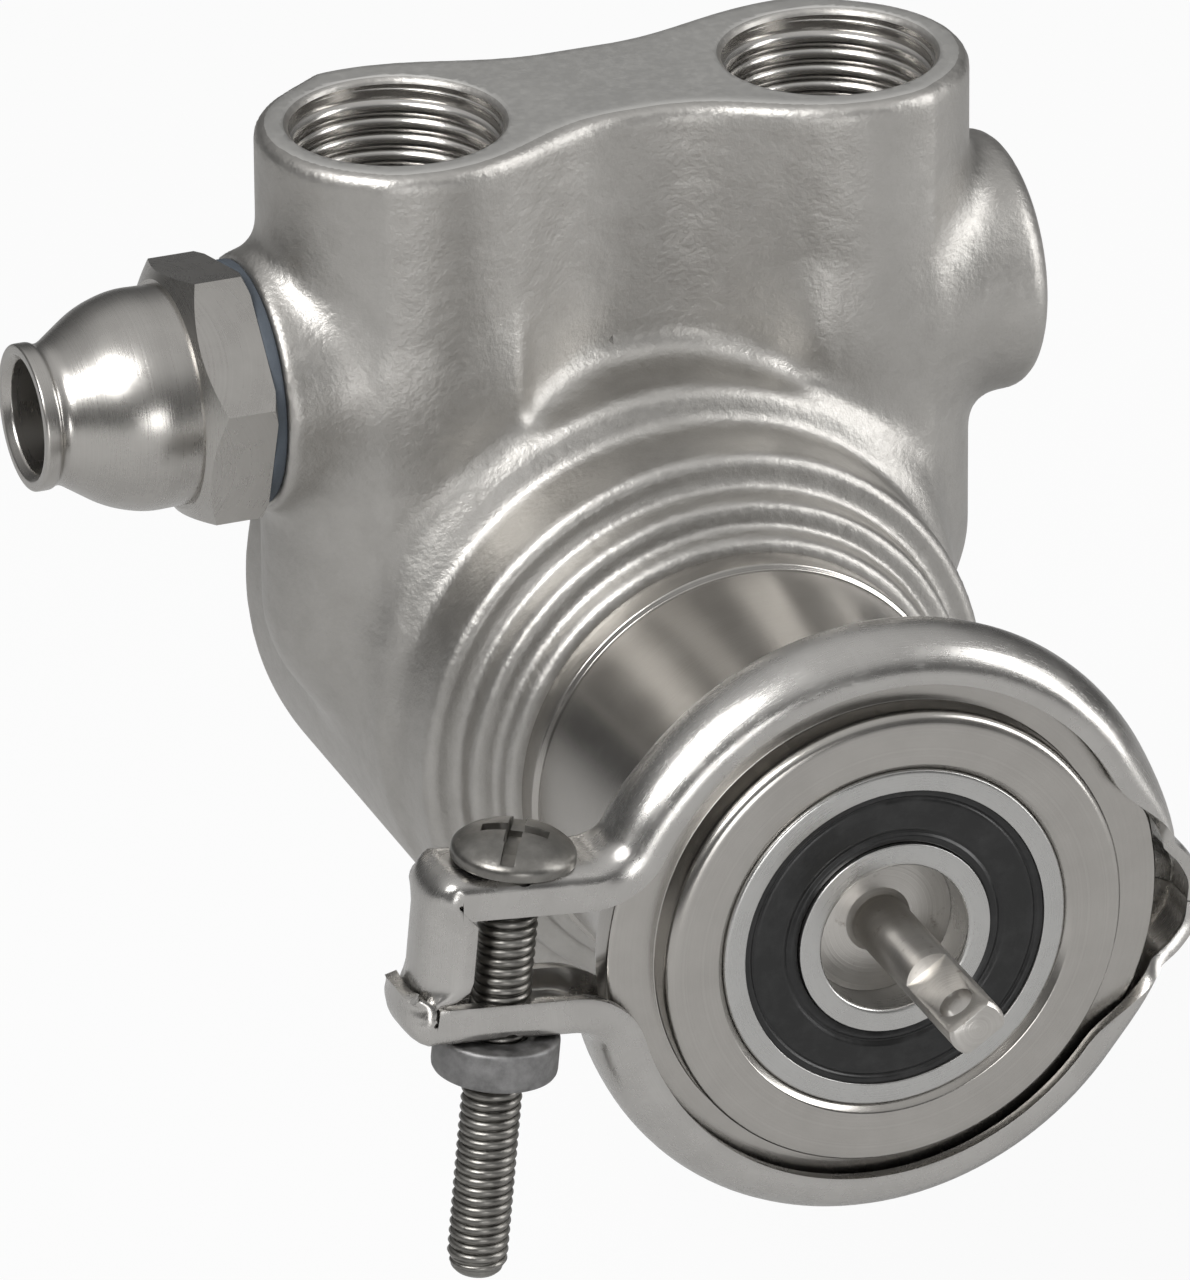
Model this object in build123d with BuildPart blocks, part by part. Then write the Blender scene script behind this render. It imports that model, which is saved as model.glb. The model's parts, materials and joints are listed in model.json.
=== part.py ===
from build123d import *
import os
from math import cos, degrees, radians, sin, sqrt, asin

os.makedirs("parts", exist_ok=True)

# A clamp-on rotary vane pump with a stainless body, in millimetres.
# The pump axis is Y, the driven end points to -Y, the ports face +Z.
# The origin is where the face of the mounting flange meets the pump axis.

# ---- driving dimensions -------------------------------------------------

# fits
press_play = 0.02             # radial play of a pressed or located ring
running_play = 0.05           # radial or axial play of a turning piece
thread_play = 0.05            # radial play between plain thread cylinders
wide_play = 0.3               # play between pieces that need not touch

# mounting flange and neck
flange_radius = 28.575
flange_rim = 4.6              # length of the cylindrical rim
flange_taper = 3.7 / 5.6      # axial rise of the rear cone per mm of radius
flange_edge = 0.5             # chamfer on the front rim edge
pilot_radius = 23.4
pilot_height = 2.0
pilot_round = 1.1
pilot_bore_chamfer = 0.7
neck_radius = 21.5
neck_ring_radius = 22.0
neck_ring_start = 36.8
neck_end = 39.6

# cast barrel: shoulders that step up behind the neck, then an eccentric drum
shoulder_1_radius = 23.4
shoulder_1_end = 42.6
shoulder_2_radius = 26.0
shoulder_2_end = 46.4
barrel_radius = 29.4
barrel_end = 95.3
shoulder_round = 1.3
drum_radius = 30.6
drum_rise = 2.4               # drum axis above the pump axis
drum_start = 55.0
drum_round = 2.0
rear_chamfer = 0.6

# port block
port_station = 70.9           # where the port and relief axes cross the pump axis
port_spacing = 45.1
port_top = 59.0
lobe_radius = 13.8
web_front = 7.0               # web faces, measured from the port station
web_rear = 11.0
web_blend = 9.0
block_foot = 9.0              # height of the round lobe feet above the pump axis
block_round = 1.3

# ports: parallel pipe thread, 1/2 inch
port_thread_radius = 10.48
port_thread_depth = 16.0
port_chamfer = 0.45
port_cone = 2.0
port_drill_radius = 7.5
port_drill_floor = 14.0

# relief valve, along X; distances are measured out from the pump axis
relief_height = 34.0
relief_face = 38.5
relief_boss_radius = 12.7
relief_boss_root = 13.4
relief_boss_chamfer = 0.8
blank_boss_radius = 13.0
blank_boss_end = 41.3
blank_boss_round = 2.2
cap_thread_radius = 8.4
cap_thread_length = 10.0
cap_thread_relief = 1.0
gasket_thickness = 1.3
gasket_radius = 12.1
gasket_bore = 8.6
cap_hex_flats = 24.0
cap_hex_length = 6.8
cap_hex_turn = 12.0
cap_hex_chamfer = 1.6
cap_dome_radius = 10.85
cap_dome_length = 12.3
cap_nose_radius = 7.25
cap_nose_length = 2.5
cap_nose_bore = 5.6
cap_nose_chamfer = 0.8
cap_spring_bore = 6.3
adjuster_radius = 4.0
adjuster_length = 8.0
adjuster_outer_end = 51.5
adjuster_slot = 1.4
adjuster_slot_depth = 1.8
adjuster_groove_depth = 1.0
adjuster_groove_width = 1.1
spring_seat_thickness = 1.6
spring_seat_radius = 6.0
relief_wire = 1.2
relief_spring_radius = 4.4
relief_turns = 6
relief_bore = 6.3
poppet_radius = 6.0
poppet_length = 9.0
poppet_stem = 3.2
poppet_skirt = 4.0
poppet_pilot = 2.9
poppet_pilot_length = 1.6
valve_seat_face = 7.0
valve_seat_bore = 3.2
valve_seat_radius = 7.4
valve_seat_length = 4.0
gallery_radius = 3.6

# ball bearing 15 x 35 x 11
bearing_bore_radius = 7.5
bearing_radius = 17.5
bearing_width = 11.0
bearing_face = -1.7
bearing_chamfer = 0.35
ball_radius = 2.95
ball_circle = 12.5
ball_count = 8
groove_play = 0.08
outer_land = 14.5
inner_land = 10.6
seal_land_outer = 15.3
seal_land_inner = 9.75
seal_land_depth = 1.5
lip_seal_thickness = 0.9
lip_seal_sink = 0.25
cage_half_width = 3.8
cage_inner = 11.7
cage_outer = 13.3

# shaft
journal_front = 2.7
collar_radius = 8.9
collar_length = 0.8
seal_journal = 6.35
rotor_journal = 6.0
rear_journal = 5.0
shaft_end = 84.5
tail_radius = 2.8
tail_root_round = 0.5
tang_tip = -22.2
tang_flats_start = -11.3
tang_thickness = 3.0
tang_hole_radius = 1.75
tang_hole_station = -18.6
tang_turn = 33.0              # angle of the flats from the X axis
tang_chamfer = 0.35

# shaft seal
bearing_recess_radius = 14.5
bearing_recess_depth = 1.2
seal_wall_bore = 8.0
seal_wall_end = 13.0
seat_pocket_radius = 12.5
seal_cavity_radius = 13.5
seat_radius = 10.9
seat_bore = 6.9
seat_thickness = 3.9
carbon_radius = 9.9
carbon_length = 3.4
bellows_radius = 8.2
bellows_length = 9.5
seal_wire = 1.1
seal_spring_radius = 9.9
seal_turns = 4
drive_disc_radius = 12.2
drive_disc_length = 2.4

# pumping cartridge
chamber_start = 48.5
cartridge_radius = 24.0
front_plate_length = 8.0
liner_length = 22.4
rear_plate_length = 6.0
liner_bore_radius = 17.5
liner_drop = 1.8              # liner bore centre below the pump axis
rotor_radius = 15.6
vane_count = 4
vane_thickness = 3.2
vane_root = 8.6
vane_slot_floor = 6.9
window_radius = 4.6
window_angle = 40.0
pin_radius = 1.5
pin_circle = 20.6
pin_bury = 4.0
cover_length = 5.4
cover_ring_section = 0.9
cover_boss_radius = 14.0
cover_boss_length = 1.6
snap_thickness = 1.4
snap_inner = 21.4
snap_seat = 25.3
snap_eye = 1.0
snap_lug = 2.4
snap_opening = 26.0           # degrees left open at the bottom

# sheet metal clamp, drawn in its own frame and then turned about the pump axis
clamp_turn = 5.6
sheet = 1.2
clamp_radius = 31.0           # middle of the sheet
clamp_lip = 5.2               # inward reach of the front leg
clamp_knee = 2.6
clamp_leg = 5.6               # inward reach of the rear leg
clamp_front = -1.45
clamp_crown_start = 1.0
clamp_crown_end = 4.6
clamp_rear = 8.3
clamp_bend = 1.2
ear_height = 8.6              # middle of the ear sheet above the clamp's split
ear_blend = 4.0
ear_leg = 3.0
ear_end = 47.8
ear_hole = 3.6
upper_wall_depth = 13.4
lower_wall_depth = 5.9
wall_tip = 1.5                # bare wall past the ends of its returns
wall_return = 3.6
loop_half_angle = 9.0
loop_reach = 35.4
loop_rise = 3.4
loop_width = 8.0
split_gap = 0.1
screw_station = 3.1
screw_offset = 38.0
screw_radius = 2.95
head_radius = 6.0
head_height = 3.2
head_rim = 1.0
head_play = 0.35              # play under the loose head
screw_reach = 34.9
screw_slot = 1.5
screw_slot_depth = 1.8
nut_radius = 6.05
nut_height = 4.0
nut_chamfer = 0.4
nut_play = 0.1

# ---- derived stations -----------------------------------------------------

pilot_face = -pilot_height
bearing_back = bearing_face + bearing_width
bearing_middle = bearing_face + bearing_width / 2
seat_face = seal_wall_end + seat_thickness
carbon_back = seat_face + carbon_length
bellows_back = carbon_back + bellows_length
front_plate_end = chamber_start + front_plate_length
liner_end = front_plate_end + liner_length
rear_plate_end = liner_end + rear_plate_length
cover_end = rear_plate_end + cover_length
ring_start = cover_end + running_play
ring_end = ring_start + snap_thickness + running_play
chamber_radius = cartridge_radius + running_play
lobe_x = port_spacing / 2
port_floor = port_top - port_thread_depth
gasket_outer = relief_face + gasket_thickness
hex_outer = gasket_outer + cap_hex_length
dome_outer = hex_outer + cap_dome_length
nose_end = dome_outer + cap_nose_length
cap_inner_end = relief_face - cap_thread_length
adjuster_inner_end = adjuster_outer_end - adjuster_length
spring_seat_end = adjuster_inner_end - spring_seat_thickness
poppet_back = valve_seat_face + poppet_length


# ---- shared shapes ----------------------------------------------------------

pump_line = Axis.Y
drum_line = Axis((0, 0, drum_rise), (0, 1, 0))
relief_line = Axis((0, port_station, relief_height), (-1, 0, 0))
relief_plane = Plane(origin=(0, port_station, relief_height), x_dir=(0, 1, 0), z_dir=(0, 0, 1))


def section(*points, plane=Plane.XY):
    """A closed half section: radius from the axis, then distance along it."""
    with BuildSketch(plane) as face:
        with BuildLine():
            Polyline(*points, close=True)
        make_face()
    return face.sketch


def ring(inner, outer, start, end, plane=Plane.XY):
    """The half section of a plain ring."""
    return section((inner, start), (outer, start), (outer, end), (inner, end), plane=plane)


def bevelled_ring(inner, outer, start, end, bevel):
    """The half section of a ring with its four edges chamfered."""
    return section(
        (inner + bevel, start),
        (outer - bevel, start),
        (outer, start + bevel),
        (outer, end - bevel),
        (outer - bevel, end),
        (inner + bevel, end),
        (inner, end - bevel),
        (inner, start + bevel),
    )


def coil(radius, wire, length, turns):
    """A helical spring along +Z from the origin."""
    with BuildPart() as spring:
        with BuildLine():
            path = Helix(pitch=(length - wire) / turns, height=length - wire, radius=radius)
        with BuildSketch(Plane(origin=path @ 0, z_dir=path % 0)):
            RegularPolygon(wire / 2, 6)
        sweep(path=path)
    return spring.part.moved(Location((0, 0, wire / 2)))


def save(piece, name):
    """Label a finished piece and write it under its node's name."""
    piece.part.label = name
    export_step(piece.part, f"parts/{name}.step")


# ---- pump body ----------------------------------------------------------------

with BuildSketch(Plane.XY.offset(block_foot)) as block_outline:
    with Locations((-lobe_x, port_station), (lobe_x, port_station)):
        Circle(lobe_radius)
    with Locations((0, port_station + (web_rear - web_front) / 2)):
        Rectangle(port_spacing, web_front + web_rear)
    waist = block_outline.vertices().filter_by_position(Axis.X, 1 - lobe_x, lobe_x - 1)
    fillet(waist.sort_by(Axis.Y)[:2], radius=web_blend)
    waist = block_outline.vertices().filter_by_position(Axis.X, 1 - lobe_x, lobe_x - 1)
    fillet(waist.sort_by(Axis.Y)[-2:], radius=web_blend / 2)

# The cast outside is drawn as separate forms, each bored below and then joined.

with BuildPart() as cast_block:
    add(block_outline.sketch)
    extrude(amount=port_top - block_foot)
    fillet(cast_block.faces().sort_by(Axis.Z)[-1].edges(), radius=block_round)

with BuildPart() as cast_feet:
    with Locations((-lobe_x, port_station, block_foot), (lobe_x, port_station, block_foot)):
        Sphere(lobe_radius, arc_size1=-90, arc_size2=0)

with BuildPart() as cast_bosses:
    revolve(
        section(
            (0, lobe_x),
            (relief_boss_root, lobe_x),
            (relief_boss_radius, relief_face - relief_boss_chamfer),
            (relief_boss_radius - relief_boss_chamfer, relief_face),
            (0, relief_face),
            plane=relief_plane,
        ),
        axis=relief_line,
    )
    with BuildSketch(relief_plane):
        with BuildLine():
            Polyline(
                (0, -blank_boss_end),
                (0, -lobe_x),
                (blank_boss_radius, -lobe_x),
                (blank_boss_radius, blank_boss_round - blank_boss_end),
            )
            RadiusArc(
                (blank_boss_radius, blank_boss_round - blank_boss_end),
                (blank_boss_radius - blank_boss_round, -blank_boss_end),
                blank_boss_round,
            )
            Line((blank_boss_radius - blank_boss_round, -blank_boss_end), (0, -blank_boss_end))
        make_face()
    revolve(axis=relief_line)

with BuildPart() as cast_drum:
    with BuildSketch(Plane.XY.offset(drum_rise)):
        with BuildLine():
            Line((0, drum_start), (drum_radius - drum_round, drum_start))
            RadiusArc(
                (drum_radius - drum_round, drum_start),
                (drum_radius, drum_start + drum_round),
                -drum_round,
            )
            Polyline(
                (drum_radius, drum_start + drum_round),
                (drum_radius, barrel_end),
                (0, barrel_end),
                (0, drum_start),
            )
        make_face()
    revolve(axis=drum_line)

with BuildPart() as cast_barrel:
    with BuildSketch(Plane.XY):
        with BuildLine():
            Line((0, pilot_face), (pilot_radius - pilot_round, pilot_face))
            RadiusArc(
                (pilot_radius - pilot_round, pilot_face),
                (pilot_radius, pilot_face + pilot_round),
                -pilot_round,
            )
            Polyline(
                (pilot_radius, pilot_face + pilot_round),
                (pilot_radius, 0),
                (flange_radius - flange_edge, 0),
                (flange_radius, flange_edge),
                (flange_radius, flange_rim),
                (neck_radius, flange_rim + (flange_radius - neck_radius) * flange_taper),
                (neck_radius, neck_ring_start),
                (neck_ring_radius, neck_ring_start),
                (neck_ring_radius, neck_end),
            )
            radius_before = neck_ring_radius
            station = neck_end
            for radius, end in (
                (shoulder_1_radius, shoulder_1_end),
                (shoulder_2_radius, shoulder_2_end),
                (barrel_radius, barrel_end),
            ):
                Line((radius_before, station), (radius - shoulder_round, station))
                RadiusArc(
                    (radius - shoulder_round, station),
                    (radius, station + shoulder_round),
                    -shoulder_round,
                )
                Line((radius, station + shoulder_round), (radius, end))
                radius_before = radius
                station = end
            Polyline((barrel_radius, barrel_end), (0, barrel_end), (0, pilot_face))
        make_face()
    revolve(axis=pump_line)

with BuildPart() as main_bore:
    # bores along the pump axis: bearing, seal wall, seal cavity, chamber
    revolve(
        section(
            (0, pilot_face),
            (bearing_radius + press_play + pilot_bore_chamfer, pilot_face),
            (bearing_radius + press_play, pilot_face + pilot_bore_chamfer),
            (bearing_radius + press_play, bearing_back),
            (bearing_recess_radius, bearing_back),
            (bearing_recess_radius, bearing_back + bearing_recess_depth),
            (seal_wall_bore, bearing_back + bearing_recess_depth),
            (seal_wall_bore, seal_wall_end),
            (seat_pocket_radius, seal_wall_end),
            (seat_pocket_radius, seat_face),
            (seal_cavity_radius, seat_face),
            (seal_cavity_radius, chamber_start),
            (chamber_radius, chamber_start),
            (chamber_radius, ring_start),
            (snap_seat + running_play, ring_start),
            (snap_seat + running_play, ring_end),
            (chamber_radius, ring_end),
            (chamber_radius, barrel_end - rear_chamfer),
            (chamber_radius + rear_chamfer, barrel_end),
            (0, barrel_end),
        ),
        axis=pump_line,
    )

with BuildPart() as port_bores:
    # two threaded ports with their drillings down to the chamber
    for side in (-1, 1):
        port_plane = Plane(
            origin=(side * lobe_x, port_station, 0), x_dir=(1, 0, 0), z_dir=(0, -1, 0)
        )
        revolve(
            section(
                (0, port_drill_floor),
                (port_drill_radius, port_drill_floor),
                (port_drill_radius, port_floor - port_cone),
                (port_thread_radius, port_floor),
                (port_thread_radius, port_top - port_chamfer),
                (port_thread_radius + port_chamfer, port_top),
                (0, port_top),
                plane=port_plane,
            ),
            axis=Axis((side * lobe_x, port_station, 0), (0, 0, 1)),
        )

with BuildPart() as relief_bores:
    # relief bores: cap thread, poppet bore, seat pocket, gallery to the outlet
    revolve(
        section(
            (0, relief_face),
            (cap_thread_radius + thread_play, relief_face),
            (cap_thread_radius + thread_play, cap_inner_end - cap_thread_relief),
            (relief_bore, cap_inner_end - cap_thread_relief),
            (relief_bore, valve_seat_face),
            (valve_seat_radius, valve_seat_face),
            (valve_seat_radius, valve_seat_face - valve_seat_length),
            (gallery_radius, valve_seat_face - valve_seat_length),
            (gallery_radius, -lobe_x),
            (0, -lobe_x),
            plane=relief_plane,
        ),
        axis=relief_line,
    )

# Each cast form is bored by itself and then joined to the others.
cast_forms = [
    form.part.cut(main_bore.part, port_bores.part, relief_bores.part)
    for form in (cast_barrel, cast_drum, cast_block, cast_feet, cast_bosses)
]

with BuildPart() as pump_body:
    add(cast_forms[0].fuse(*cast_forms[1:]))
save(pump_body, "pump_body")


# ---- ball bearing ----------------------------------------------------------------

with BuildPart() as bearing_outer_race:
    revolve(
        section(
            (seal_land_outer, bearing_face),
            (bearing_radius - bearing_chamfer, bearing_face),
            (bearing_radius, bearing_face + bearing_chamfer),
            (bearing_radius, bearing_back - bearing_chamfer),
            (bearing_radius - bearing_chamfer, bearing_back),
            (seal_land_outer, bearing_back),
            (seal_land_outer, bearing_back - seal_land_depth),
            (outer_land, bearing_back - seal_land_depth),
            (outer_land, bearing_face + seal_land_depth),
            (seal_land_outer, bearing_face + seal_land_depth),
        ),
        axis=pump_line,
    )
    with BuildSketch(Plane.XY):
        with Locations((ball_circle, bearing_middle)):
            Circle(ball_radius + groove_play)
    revolve(axis=pump_line, mode=Mode.SUBTRACT)
save(bearing_outer_race, "bearing_outer_race")

with BuildPart() as bearing_inner_race:
    revolve(
        section(
            (bearing_bore_radius + bearing_chamfer, bearing_face),
            (seal_land_inner, bearing_face),
            (seal_land_inner, bearing_face + seal_land_depth),
            (inner_land, bearing_face + seal_land_depth),
            (inner_land, bearing_back - seal_land_depth),
            (seal_land_inner, bearing_back - seal_land_depth),
            (seal_land_inner, bearing_back),
            (bearing_bore_radius + bearing_chamfer, bearing_back),
            (bearing_bore_radius, bearing_back - bearing_chamfer),
            (bearing_bore_radius, bearing_face + bearing_chamfer),
        ),
        axis=pump_line,
    )
    with BuildSketch(Plane.XY):
        with Locations((ball_circle, bearing_middle)):
            Circle(ball_radius + groove_play)
    revolve(axis=pump_line, mode=Mode.SUBTRACT)
save(bearing_inner_race, "bearing_inner_race")

ball_plane = Plane.XZ.offset(-bearing_middle)

with BuildPart() as bearing_balls:
    with Locations(ball_plane):
        with PolarLocations(ball_circle, ball_count):
            Sphere(ball_radius)
save(bearing_balls, "bearing_balls")

with BuildPart() as bearing_cage:
    revolve(
        ring(
            cage_inner,
            cage_outer,
            bearing_middle - cage_half_width,
            bearing_middle + cage_half_width,
        ),
        axis=pump_line,
    )
    for k in range(ball_count):
        angle = radians(360 / ball_count * k)
        out = (cos(angle), 0, sin(angle))
        with BuildSketch(Plane(origin=(0, bearing_middle, 0), x_dir=(0, 1, 0), z_dir=out)):
            Circle(ball_radius + groove_play)
        extrude(amount=outer_land, mode=Mode.SUBTRACT)
save(bearing_cage, "bearing_cage")

for name, start in (
    ("bearing_front_seal", bearing_face + lip_seal_sink),
    ("bearing_rear_seal", bearing_back - lip_seal_sink - lip_seal_thickness),
):
    with BuildPart() as lip_seal:
        revolve(
            ring(
                seal_land_inner + running_play,
                seal_land_outer,
                start,
                start + lip_seal_thickness,
            ),
            axis=pump_line,
        )
    save(lip_seal, name)


# ---- shaft and shaft seal -----------------------------------------------------------

with BuildPart() as drive_shaft:
    revolve(
        section(
            (0, tang_tip),
            (tail_radius - tang_chamfer, tang_tip),
            (tail_radius, tang_tip + tang_chamfer),
            (tail_radius, journal_front - tail_root_round),
            (tail_radius + tail_root_round, journal_front),
            (bearing_bore_radius - press_play, journal_front),
            (bearing_bore_radius - press_play, bearing_back),
            (collar_radius, bearing_back),
            (collar_radius, bearing_back + collar_length),
            (seal_journal, bearing_back + collar_length),
            (seal_journal, chamber_start - wide_play),
            (rotor_journal, chamber_start - wide_play),
            (rotor_journal, liner_end),
            (rear_journal, liner_end),
            (rear_journal, shaft_end),
            (0, shaft_end),
        ),
        axis=pump_line,
    )
    # two flats and a cross hole make the driving tang
    tang_plane = Plane(
        origin=(0, 0, 0),
        x_dir=(cos(radians(tang_turn)), 0, sin(radians(tang_turn))),
        z_dir=(0, -1, 0),
    )
    with BuildSketch(tang_plane.offset(-tang_flats_start)):
        for side in (-1, 1):
            with Locations((0, side * (tang_thickness / 2 + tail_radius))):
                Rectangle(4 * tail_radius, 2 * tail_radius)
    extrude(amount=tang_flats_start - tang_tip, mode=Mode.SUBTRACT)
    hole_plane = Plane(
        origin=(0, tang_hole_station, 0),
        x_dir=(0, 1, 0),
        z_dir=(-sin(radians(tang_turn)), 0, cos(radians(tang_turn))),
    )
    with BuildSketch(hole_plane):
        Circle(tang_hole_radius)
    extrude(amount=tang_thickness, both=True, mode=Mode.SUBTRACT)
save(drive_shaft, "drive_shaft")

with BuildPart() as seal_seat:
    revolve(
        bevelled_ring(seat_bore, seat_radius, seal_wall_end, seat_face, bearing_chamfer),
        axis=pump_line,
    )
save(seal_seat, "seal_seat")

with BuildPart() as seal_seat_ring:
    revolve(
        ring(
            seat_radius + press_play,
            seat_pocket_radius - press_play,
            seal_wall_end + bearing_chamfer,
            seat_face - wide_play,
        ),
        axis=pump_line,
    )
save(seal_seat_ring, "seal_seat_ring")

with BuildPart() as seal_carbon_face:
    revolve(
        bevelled_ring(seat_bore, carbon_radius, seat_face, carbon_back, bearing_chamfer),
        axis=pump_line,
    )
save(seal_carbon_face, "seal_carbon_face")

with BuildPart() as seal_bellows:
    revolve(
        section(
            (seal_journal + press_play, carbon_back),
            (bellows_radius, carbon_back),
            (bellows_radius, carbon_back + bellows_length / 4),
            (bellows_radius - seal_wire, carbon_back + bellows_length / 2),
            (bellows_radius, bellows_back - bellows_length / 4),
            (bellows_radius, bellows_back),
            (seal_journal + press_play, bellows_back),
        ),
        axis=pump_line,
    )
save(seal_bellows, "seal_bellows")

with BuildPart() as seal_spring:
    with Locations(Plane(origin=(0, carbon_back, 0), x_dir=(1, 0, 0), z_dir=(0, 1, 0))):
        add(coil(seal_spring_radius, seal_wire, bellows_length, seal_turns))
save(seal_spring, "seal_spring")

with BuildPart() as seal_drive_disc:
    revolve(
        bevelled_ring(
            seal_journal + press_play,
            drive_disc_radius,
            bellows_back,
            bellows_back + drive_disc_length,
            bearing_chamfer,
        ),
        axis=pump_line,
    )
save(seal_drive_disc, "seal_drive_disc")


# ---- pumping cartridge ------------------------------------------------------------------

pin_places = ((0, pin_circle),)

with BuildPart() as front_end_plate:
    revolve(
        ring(rotor_journal + running_play, cartridge_radius, chamber_start, front_plate_end),
        axis=pump_line,
    )
    with BuildSketch(Plane.XZ.offset(-front_plate_end)):
        with Locations(*pin_places):
            Circle(pin_radius + press_play)
    extrude(amount=pin_bury, mode=Mode.SUBTRACT)
save(front_end_plate, "front_end_plate")

with BuildPart() as liner:
    with BuildSketch(Plane.XZ.offset(-front_plate_end)):
        Circle(cartridge_radius)
        with Locations((0, -liner_drop)):
            Circle(liner_bore_radius, mode=Mode.SUBTRACT)
        with Locations(*pin_places):
            Circle(pin_radius + press_play, mode=Mode.SUBTRACT)
    extrude(amount=-liner_length)
    # inlet and outlet windows face the two port drillings
    for angle in (window_angle, 180 - window_angle):
        out = (cos(radians(angle)), 0, sin(radians(angle)))
        with BuildSketch(Plane(origin=(0, port_station, 0), x_dir=(0, 1, 0), z_dir=out)):
            Circle(window_radius)
        extrude(amount=2 * cartridge_radius, mode=Mode.SUBTRACT)
save(liner, "liner")

with BuildPart() as rear_end_plate:
    revolve(
        ring(rear_journal + running_play, cartridge_radius, liner_end, rear_plate_end),
        axis=pump_line,
    )
    with BuildSketch(Plane.XZ.offset(-liner_end)):
        with Locations(*pin_places):
            Circle(pin_radius + press_play)
    extrude(amount=-pin_bury, mode=Mode.SUBTRACT)
save(rear_end_plate, "rear_end_plate")

with BuildPart() as cartridge_pin:
    with BuildSketch(Plane.XZ.offset(pin_bury - wide_play - front_plate_end)):
        with Locations(*pin_places):
            Circle(pin_radius)
    extrude(amount=-(liner_length + 2 * (pin_bury - wide_play)))
save(cartridge_pin, "cartridge_pin")

vane_angles = [90 + 360 / vane_count * k for k in range(vane_count)]
rotor_start = front_plate_end + running_play
rotor_length = liner_length - 2 * running_play


def vane_plane(angle):
    """A plane across the pump axis whose local X runs out along one vane."""
    return Plane(
        origin=(0, rotor_start, 0),
        x_dir=(cos(radians(angle)), 0, sin(radians(angle))),
        z_dir=(0, -1, 0),
    )


with BuildPart() as rotor:
    with BuildSketch(Plane.XZ.offset(-rotor_start)):
        Circle(rotor_radius)
        Circle(rotor_journal + press_play, mode=Mode.SUBTRACT)
    extrude(amount=-rotor_length)
    for angle in vane_angles:
        with BuildSketch(vane_plane(angle)):
            with Locations((vane_slot_floor + rotor_radius, 0)):
                Rectangle(2 * rotor_radius, vane_thickness + 2 * running_play)
        extrude(amount=-rotor_length, mode=Mode.SUBTRACT)
save(rotor, "rotor")

for number, angle in enumerate(vane_angles, 1):
    with BuildPart() as vane:
        with BuildSketch(vane_plane(angle)):
            with Locations(((vane_root + rotor_radius) / 2, 0)):
                Rectangle(rotor_radius - vane_root, vane_thickness)
        extrude(amount=-rotor_length)
        fillet(
            vane.edges()
            .filter_by(Axis.Y)
            .sort_by(lambda edge: -abs(edge.center() - Vector(0, edge.center().Y, 0)))[:2],
            radius=vane_thickness / 3,
        )
    save(vane, f"vane_{number}")

with BuildPart() as rear_cover:
    revolve(
        section(
            (0, rear_plate_end),
            (cartridge_radius, rear_plate_end),
            (cartridge_radius, rear_plate_end + 1.5 * cover_ring_section),
            (cartridge_radius - 2 * cover_ring_section, rear_plate_end + 1.5 * cover_ring_section),
            (cartridge_radius - 2 * cover_ring_section, cover_end - 1.5 * cover_ring_section),
            (cartridge_radius, cover_end - 1.5 * cover_ring_section),
            (cartridge_radius, cover_end),
            (cover_boss_radius, cover_end),
            (cover_boss_radius - cover_boss_length, cover_end + cover_boss_length),
            (0, cover_end + cover_boss_length),
        ),
        axis=pump_line,
    )
save(rear_cover, "rear_cover")

with BuildPart() as rear_cover_ring:
    with BuildSketch(Plane.XY):
        with Locations((cartridge_radius - cover_ring_section, (rear_plate_end + cover_end) / 2)):
            Circle(cover_ring_section - press_play)
    revolve(axis=pump_line)
save(rear_cover_ring, "rear_cover_ring")

with BuildPart() as rear_snap_ring:
    with BuildSketch(Plane.XZ.offset(-ring_start)) as snap_outline:
        Circle(snap_seat)
        Circle(snap_inner, mode=Mode.SUBTRACT)
        reach = snap_seat / cos(radians(snap_opening / 2))
        with BuildLine():
            Polyline(
                (0, 0),
                (reach * sin(radians(snap_opening / 2)), -reach * cos(radians(snap_opening / 2))),
                (-reach * sin(radians(snap_opening / 2)), -reach * cos(radians(snap_opening / 2))),
                close=True,
            )
        make_face(mode=Mode.SUBTRACT)
        eye_angle = -90 + snap_opening / 2 + degrees(snap_lug / snap_inner)
        for angle in (eye_angle, 180 - eye_angle):
            with PolarLocations(snap_inner, 1, start_angle=angle):
                Circle(snap_lug)
        for angle in (eye_angle, 180 - eye_angle):
            with PolarLocations(snap_inner, 1, start_angle=angle):
                Circle(snap_eye, mode=Mode.SUBTRACT)
        Circle(snap_seat, mode=Mode.INTERSECT)
    extrude(amount=-snap_thickness)
save(rear_snap_ring, "rear_snap_ring")


# ---- relief valve -----------------------------------------------------------------------

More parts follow.
